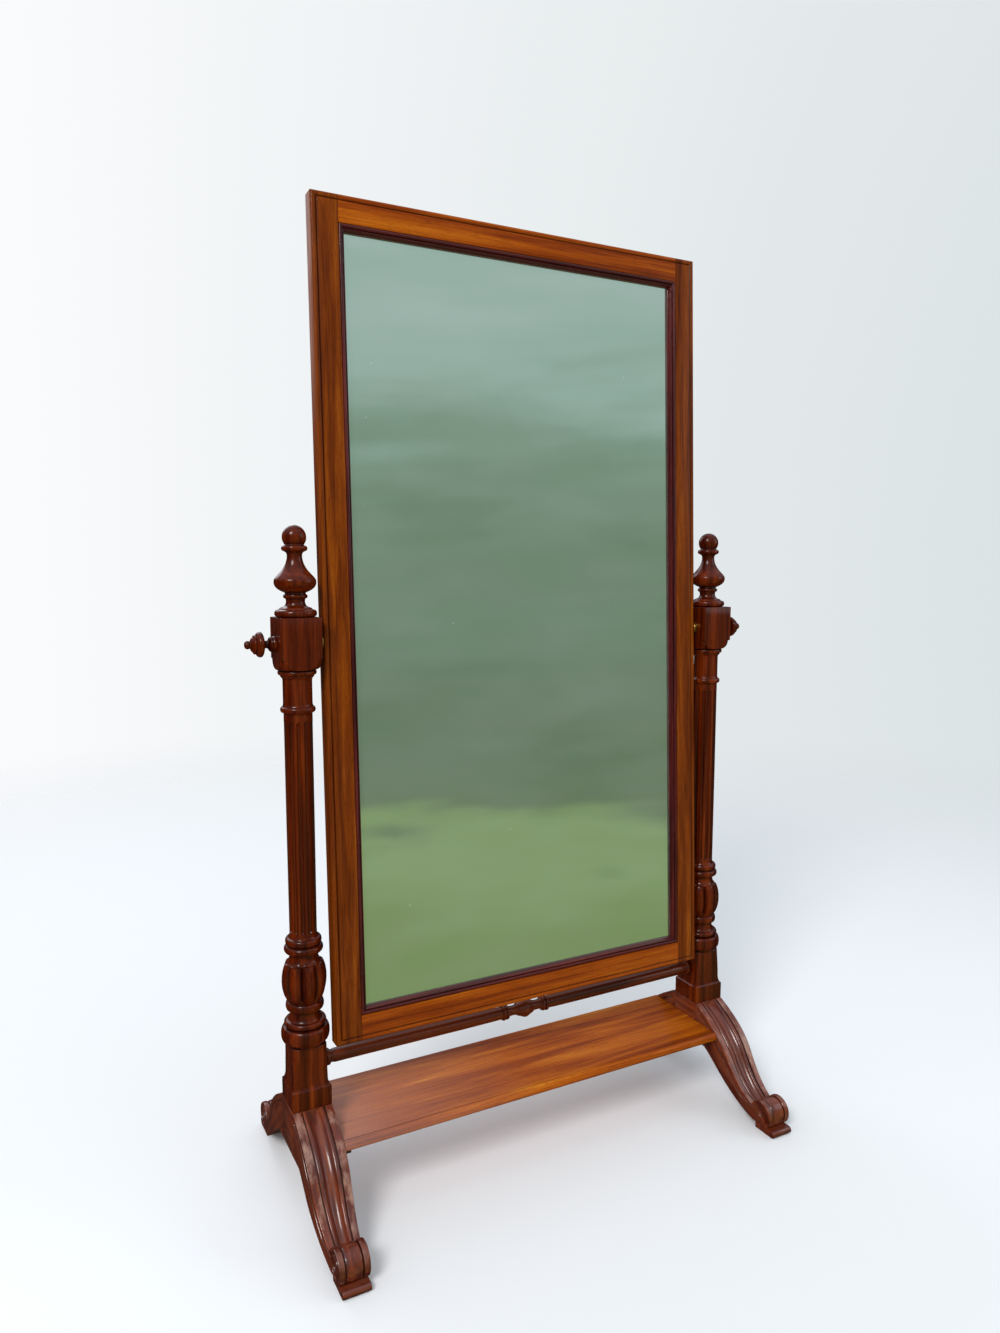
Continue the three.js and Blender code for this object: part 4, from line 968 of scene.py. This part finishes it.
# ---------------------------------------------------------------- finials
# Each is turned separately and dropped into the top of its post: a torus base, a waisted stem, an onion
# bulb drawn up to a thin neck, a collar and a ball. They have the same dark polished mahogany as the posts.
FINIAL_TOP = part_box("left_finial")[1].z / MM
BALL = 18.2
finial_outline = flat_list(
    [(11, 930), (11, 945.2), (27.4, 945.3)], roll(28.5, 32, 956, 946, 14),
    [(27.4, 956.4), (25.4, 957), (24.6, 958.2)],
    bezier((24, 959), (20, 960.6), (16.8, 961), (15.6, 964), 7),
    [(14.4, 967), (14.3, 970), (14.9, 973)], roll(16.8, 18.4, 979.5, 974, 10),
    [(15.8, 980), (15.5, 981.6)],
    bezier((16.6, 982.6), (25, 986), (31.6, 990), (31.9, 998), 12),
    bezier((31.6, 1001), (29, 1009), (13.4, 1016), (11.4, 1036), 20),
    [(11.5, 1040), (12.6, 1042.6), (14.6, 1044)], roll(16.5, 19.6, 1053, 1045, 12),
    [(15.2, 1053.6), (14.4, 1055)],
    arc(0, FINIAL_TOP - BALL, BALL, BALL, -38, 88, 24))
for side_name, side in SIDES.items():
    finial = moved(spun("finial", finial_outline), 1, 1, (side * POST_X * MM, 0, 0))
    settle(f"{side_name}_turned_finial", finial, turned_mahogany, "stand", "turned_mahogany",
           f"{side_name}_finial")

# ---------------------------------------------------------------- stiles and rails of the swinging frame
# Straight-grained mahogany, tenoned at the corners. A round edge with a fine quirk runs all round the
# outside, turning each corner on the ends of the stiles. A rebate behind holds the glass. The frame leans
# back a little.
TILT = math.radians(2.2)
PIVOT_Z = 905
HALF_FRAME = 360
FRAME_TOP, FRAME_BOTTOM = 675, -643
FRAME_DEPTH = 26
MEMBER = 42
REBATE_DEPTH, REBATE_WIDTH = 8, 9
GAP = 0.3
INNER_ARRIS = 40.9
# The face of a stile or rail across its width, as [inward, back]: round edge, quirk, flat and eased inner
# arris.
EDGE_PROFILE = np.array([
    (0.0, 3.4), (0.12, 2.6), (0.45, 1.8), (1.0, 1.15), (1.8, 0.6), (2.8, 0.2), (4.0, 0.0), (5.4, 0.12),
    (6.6, 0.5), (7.5, 1.1), (8.0, 1.9), (8.5, 2.2), (9.0, 1.6), (9.6, 0.5), (10.2, 0.08), (10.8, 0.0),
    (20.0, 0.0), (30.0, 0.0), (41.0, 0.0), (41.6, 0.2), (42.0, 0.8)])


def leaning(mesh):
    """Moves a mesh made round the pivot, in metres, to where the frame leans at rest."""
    points = np.array([v.co for v in mesh.vertices]).reshape(-1, 3)
    y = points[:, 1] * math.cos(TILT) + points[:, 2] * math.sin(TILT)
    z = points[:, 2] * math.cos(TILT) - points[:, 1] * math.sin(TILT)
    made = np.stack([points[:, 0], y, z + PIVOT_Z * MM], 1)
    mesh.vertices.foreach_set("co", made.astype(np.float32).ravel())
    mesh.update()
    return mesh


def box_tool(low, high):
    corners = [(x, y, z) for x in (low[0], high[0]) for y in (low[1], high[1]) for z in (low[2], high[2])]
    mesh = bpy.data.meshes.new("cut")
    mesh.from_pydata([tuple(c * MM for c in p) for p in corners], [],
                     [(0, 1, 3, 2), (4, 6, 7, 5), (0, 4, 5, 1), (2, 3, 7, 6), (0, 2, 6, 4), (1, 5, 7, 3)])
    return cleaned(mesh)


def stile_mesh(side):
    """Stile with its moulded edge carried round both ends, and the rebate behind stopped short of them."""
    insets, depths = EDGE_PROFILE[:, 0], EDGE_PROFILE[:, 1]
    between = np.linspace(FRAME_BOTTOM + 60, FRAME_TOP - 60, 12)
    rows = np.r_[FRAME_BOTTOM + insets, between, FRAME_TOP - insets[::-1]]
    front = -FRAME_DEPTH / 2
    grid = np.zeros((len(rows), len(insets), 3))
    for i, z in enumerate(rows):
        from_end = min(z - FRAME_BOTTOM, FRAME_TOP - z)
        for j, t in enumerate(insets):
            depth = np.interp(min(t, from_end), insets, depths)
            if t > INNER_ARRIS and from_end > 2:
                depth = max(depth, depths[j])
            grid[i, j] = (side * (HALF_FRAME - t), front + depth, z)
    points = [tuple(p) for p in grid.reshape(-1, 3)]
    count, wide = len(rows), len(insets)
    corner = np.arange(count * wide).reshape(count, wide)
    faces = []
    for i in range(count - 1):
        for j in range(wide - 1):
            a, b, c, d = corner[i, j], corner[i, j + 1], corner[i + 1, j + 1], corner[i + 1, j]
            if i == j:
                faces += [(a, b, c), (a, c, d)]
            elif count - 2 - i == j:
                faces += [(a, b, d), (b, c, d)]
            else:
                faces.append((a, b, c, d))
    edge = list(corner[0, :]) + list(corner[1:, -1]) + list(corner[-1, -2::-1]) + list(corner[-2:0:-1, 0])
    back = len(points)
    points += [(points[k][0], FRAME_DEPTH / 2, points[k][2]) for k in edge]
    ring = len(edge)
    faces += [(edge[k], edge[(k + 1) % ring], back + (k + 1) % ring, back + k) for k in range(ring)]
    faces.append(tuple(back + k for k in range(ring)))
    mesh = bpy.data.meshes.new("stile")
    mesh.from_pydata([tuple(c * MM for c in p) for p in points], [],
                     [tuple(int(k) for k in face) for face in faces])
    mesh = cleaned(mesh, 30)
    inner = side * (HALF_FRAME - MEMBER)
    lip = side * (HALF_FRAME - MEMBER + REBATE_WIDTH)
    low, high = min(inner - side, lip), max(inner - side, lip)
    stop = MEMBER - REBATE_WIDTH
    rebate = box_tool((low, FRAME_DEPTH / 2 - REBATE_DEPTH, FRAME_BOTTOM + stop),
                      (high, FRAME_DEPTH, FRAME_TOP - stop))
    return cleaned(carved_with(mesh, rebate), 30)


def extruded(name, section, low, high, place, mitre=False):
    """Moulding of one section [inward, back] from low to high. mitre shortens it by the inward distance."""
    rings = []
    for end, way in [(low, 1), (high, -1)] if mitre else [(low, 0), ((low + high) / 2, 0), (high, 0)]:
        rings.append([place(t, d, end + way * t) for t, d in section])
    return shell(name, rings, sharp=30)


# Polished mahogany gone soft and brown: rails of lighter orange brown wood, stiles of darker wood, little
# gloss.
FRAME_SHADES = ["4a1800", "783000", "924400", "aa5c08"]
STILE_SHADES = ["3a1200", "5c2500", "733400", "8c4a06"]
FRAME_POLISH = {"coat": 0.08, "rough": 0.36, "figure": 15, "shine": 0.08}
stile_mahogany = mahogany("polished_mahogany_along_z", STILE_SHADES, axis="z", **FRAME_POLISH)
rail_face_mahogany = mahogany("polished_mahogany_along_x", FRAME_SHADES, axis="x", **FRAME_POLISH)
for side_name, side in SIDES.items():
    stile = leaning(stile_mesh(side))
    settle(f"{side_name}_moulded_stile", stile, stile_mahogany, "mirror_frame", "frame_mahogany",
           f"{side_name}_stile")

front = -FRAME_DEPTH / 2
rebate_front = FRAME_DEPTH - REBATE_DEPTH
member_section = [tuple(p) for p in EDGE_PROFILE] + [
    (MEMBER, rebate_front), (MEMBER - REBATE_WIDTH, rebate_front), (MEMBER - REBATE_WIDTH, FRAME_DEPTH),
    (0, FRAME_DEPTH)]
half_opening = HALF_FRAME - MEMBER
RAILS = {"top": (1, FRAME_TOP), "bottom": (-1, -FRAME_BOTTOM)}
for rail_name, (way, edge) in RAILS.items():
    body = extruded(rail_name, member_section, GAP - half_opening, half_opening - GAP,
                    lambda t, d, x: (x, front + d, way * (edge - t)))
    settle(f"{rail_name}_moulded_rail", leaning(body), rail_face_mahogany, "mirror_frame", "frame_mahogany",
           f"{rail_name}_rail")

# ---------------------------------------------------------------- beads round the glass
# Thin strips of mahogany stained dark red, moulded with two ridges that step down to the glass. They are
# mitred and pinned into the frame.
BEAD = 10.6
GLASS_FRONT = 11.3
MITRE_GAP = 0.15
bead_section = flat_list(
    [(GAP, 1.6)], arc(3.1, 1.4, 2.7, 2.2, 176, 352, 14), [(6.0, 2.4), (6.2, 2.9)],
    arc(7.7, 3.4, 1.4, 1.5, 196, 352, 10), [(9.3, 4.6), (9.8, 6.2), (BEAD, 7.6)],
    [(BEAD, GLASS_FRONT - GAP), (GAP, GLASS_FRONT - GAP)])
# Stained and polished strips: nearly black red, with a brighter line of gloss along each ridge.
BEAD_SHADES = ["1f0708", "3a0f10", "4c1716", "63241e"]
BEAD_POLISH = {"coat": 0.4, "rough": 0.24, "figure": 10}
bead_up = mahogany("dark_stained_bead_along_z", BEAD_SHADES, axis="z", **BEAD_POLISH)
bead_over = mahogany("dark_stained_bead_along_x", BEAD_SHADES, axis="x", **BEAD_POLISH)
opening_top, opening_bottom = FRAME_TOP - MEMBER, FRAME_BOTTOM + MEMBER
for rail_name, (way, edge) in RAILS.items():
    strip = extruded(rail_name, bead_section, MITRE_GAP - half_opening, half_opening - MITRE_GAP,
                     lambda t, d, x: (x, front + d, way * (edge - MEMBER - t)), mitre=True)
    settle(f"{rail_name}_glass_bead", leaning(strip), bead_over, "mirror_frame", "dark_bead",
           f"{rail_name}_bead")
for side_name, side in SIDES.items():
    strip = extruded(side_name, bead_section, opening_bottom + MITRE_GAP, opening_top - MITRE_GAP,
                     lambda t, d, z: (side * (half_opening - t), front + d, z), mitre=True)
    settle(f"{side_name}_glass_bead", leaning(strip), bead_up, "mirror_frame", "dark_bead",
           f"{side_name}_bead")

# ---------------------------------------------------------------- mirror plate
# One sheet of old plate glass, silvered on its back, lies in the rebate behind the beads. The packed
# model's own flat sheet is shown. Silvered glass: a mirror with a faint green-grey tint, a film of haze in
# drifts and a few specks of dust.
silvering, tree = new_material("silvered_plate_glass")
spot = add(tree, "ShaderNodeTexCoord").outputs["Object"]
drift_place = add(tree, "ShaderNodeMapping", {"Vector": spot, "Scale": (3, 3, 11)}).outputs[0]
drifts = add(tree, "ShaderNodeTexNoise", {"Vector": drift_place, "Scale": 1.0, "Detail": 6, "Roughness": 0.6})
film = add(tree, "ShaderNodeMapRange", {0: drifts.outputs["Fac"], 1: 0.35, 2: 0.75, 3: 0.03, 4: 0.11})
specks = add(tree, "ShaderNodeTexVoronoi", {"Vector": spot, "Scale": 26.0, "Randomness": 1.0})
dust = add(tree, "ShaderNodeMapRange", {0: specks.outputs["Distance"], 1: 0.02, 2: 0.035, 3: 0.55, 4: 0.0})
coverage = add(tree, "ShaderNodeMath", {0: film.outputs[0], 1: dust.outputs[0]}, operation="MAXIMUM")
wave_place = add(tree, "ShaderNodeMapping", {"Vector": spot, "Scale": (5, 5, 7)}).outputs[0]
waves = add(tree, "ShaderNodeTexNoise", {"Vector": wave_place, "Scale": 1.0, "Detail": 1})
warp = add(tree, "ShaderNodeBump", {"Height": waves.outputs["Fac"], "Strength": 0.25, "Distance": 0.001})
silver = add(tree, "ShaderNodeBsdfPrincipled", {"Base Color": linear("e6ece6"), "Metallic": 1.0,
                                                "Roughness": 0.035, "Normal": warp.outputs[0]})
haze_film = add(tree, "ShaderNodeBsdfDiffuse", {"Color": linear("c9d2cb")})
glass = add(tree, "ShaderNodeMixShader", {0: coverage.outputs[0], 1: silver.outputs[0],
                                          2: haze_film.outputs[0]})
add(tree, "ShaderNodeOutputMaterial", {"Surface": glass.outputs[0]})
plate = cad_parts["mirror_plate"]
plate.data.materials.clear()
plate.data.materials.append(silvering)

# ---------------------------------------------------------------- backboards and their screws
# Three thin pine boards lie side by side in the rebate behind the glass. Each is held by two brass screws,
# one at its top and one at its foot. Planed pine: pale yellow brown, matt, with soft growth lines up the
# board.
pine = plain_wood("planed_pine", ["94704a", "ab8458", "bf9b6c"], "z", 0.016)
BOARD_WIDTH = 2 * (half_opening + REBATE_WIDTH - GAP) / 3
BOARD_TOP = FRAME_TOP - MEMBER + REBATE_WIDTH - GAP
BOARD_BOTTOM = FRAME_BOTTOM + MEMBER - REBATE_WIDTH + GAP
BOARD_BACK = FRAME_DEPTH / 2 - 0.5
BOARD_FRONT = FRAME_DEPTH / 2 - REBATE_DEPTH + GAP
BOARD_EASE = 1.6
SCREW_IN = 4.6
BACK_SCREW = {"head_mm": 3.0, "length_mm": 16}
back_places, back_nodes = [], []
for name, column in (("left", -1), ("middle", 0), ("right", 1)):
    middle = column * BOARD_WIDTH
    half = BOARD_WIDTH / 2 - GAP / 2
    board = bar(name, (middle - half, BOARD_FRONT, BOARD_BOTTOM), (middle + half, BOARD_BACK, BOARD_TOP),
                BOARD_EASE, axis=2)
    settle(f"{name}_pine_board", leaning(board), pine, "mirror_frame", "pine", f"{name}_backboard")
    for rail_name, z in (("top", BOARD_TOP - SCREW_IN), ("bottom", BOARD_BOTTOM + SCREW_IN)):
        y = BOARD_BACK + 0.1
        back_places.append((middle * MM, (y * math.cos(TILT) + z * math.sin(TILT)) * MM,
                            (PIVOT_Z + z * math.cos(TILT) - y * math.sin(TILT)) * MM))
        back_nodes.append(f"{name}_{rail_name}_back_screw")
backward = (0, math.cos(TILT), -math.sin(TILT))
back_screws = screw_set("back_screws", back_places, [backward] * len(back_places), brass, **BACK_SCREW)
settle("back_screws", back_screws, brass, "mirror_frame", "brass", *back_nodes)

# ---------------------------------------------------------------- pivot plates, bushes and knobs
# A brass plate with a nut is let into each edge of the frame. The knob's steel screw passes through a brass
# bush in the post into that nut, so that turning a knob clamps the frame. Knobs are turned from dark
# mahogany.
for side_name in SIDES:
    for part_name, material in (("pivot_plate", brass), ("knob_screw", steel), ("lower_plate_screw", brass),
                                ("upper_plate_screw", brass)):
        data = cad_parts[f"{side_name}_{part_name}"].data
        data.materials.clear()
        data.materials.append(material)

bush_low, bush_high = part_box("right_pivot_bush")
flange_near, sleeve_far = bush_low.x / MM, bush_high.x / MM
flange_far = POST_X - HALF_BLOCK - GAP
bush_outline = [(4.4, flange_near), (11.2, flange_near), (12.2, flange_near + 0.3), (12.8, flange_near + 0.9),
                (13, flange_near + 1.7), (13, flange_far - 0.3), (12.7, flange_far), (7.5, flange_far + 0.01),
                (7.5, sleeve_far), (4.4, sleeve_far)]
OUTER_FACE = POST_X + HALF_BLOCK + GAP
knob_outline = flat_list(
    [(11.4, 0)], bezier((12, 0.4), (12.6, 1.6), (12.0, 3.6), (11.2, 5), 7),
    bezier((11.2, 5.2), (12, 5.8), (12, 7.4), (10.8, 8.6), 6),
    bezier((9.6, 10), (7, 10.8), (6, 12), (5.8, 14), 6),
    bezier((5.8, 15.6), (6.4, 17.2), (9, 17.6), (12, 18.4), 6),
    bezier((14.6, 19), (18.2, 20), (19.2, 21.6), (19.2, 23.6), 8),
    bezier((19.1, 25), (18.6, 27.2), (16.4, 28.8), (14, 29.8), 7),
    [(13.6, 30.2)], roll(13.4, 14.5, 33.2, 30.6, 8), [(12.4, 33.8)],
    bezier((11.6, 34.2), (10.4, 36), (9, 37), (6.2, 38), 6), [(5.6, 38.6)],
    bezier((5.5, 39.2), (6.6, 40.4), (7.0, 43.4), (4.6, 45.8), 9), [(2.6, 46.5), (0.8, 46.7)])
for side_name, side in SIDES.items():
    bush = laid_along_x(spun("bush", bush_outline, 48), side, (0, 0, PIVOT_Z * MM))
    settle(f"{side_name}_flanged_bush", bush, brass, "stand", "brass", f"{side_name}_pivot_bush")
    knob = laid_along_x(spun("knob", knob_outline, 72), side, (side * OUTER_FACE * MM, 0, PIVOT_Z * MM))
    settle(f"{side_name}_turned_knob", knob, turned_mahogany, f"{side_name}_knob", "turned_mahogany",
           f"{side_name}_knob")
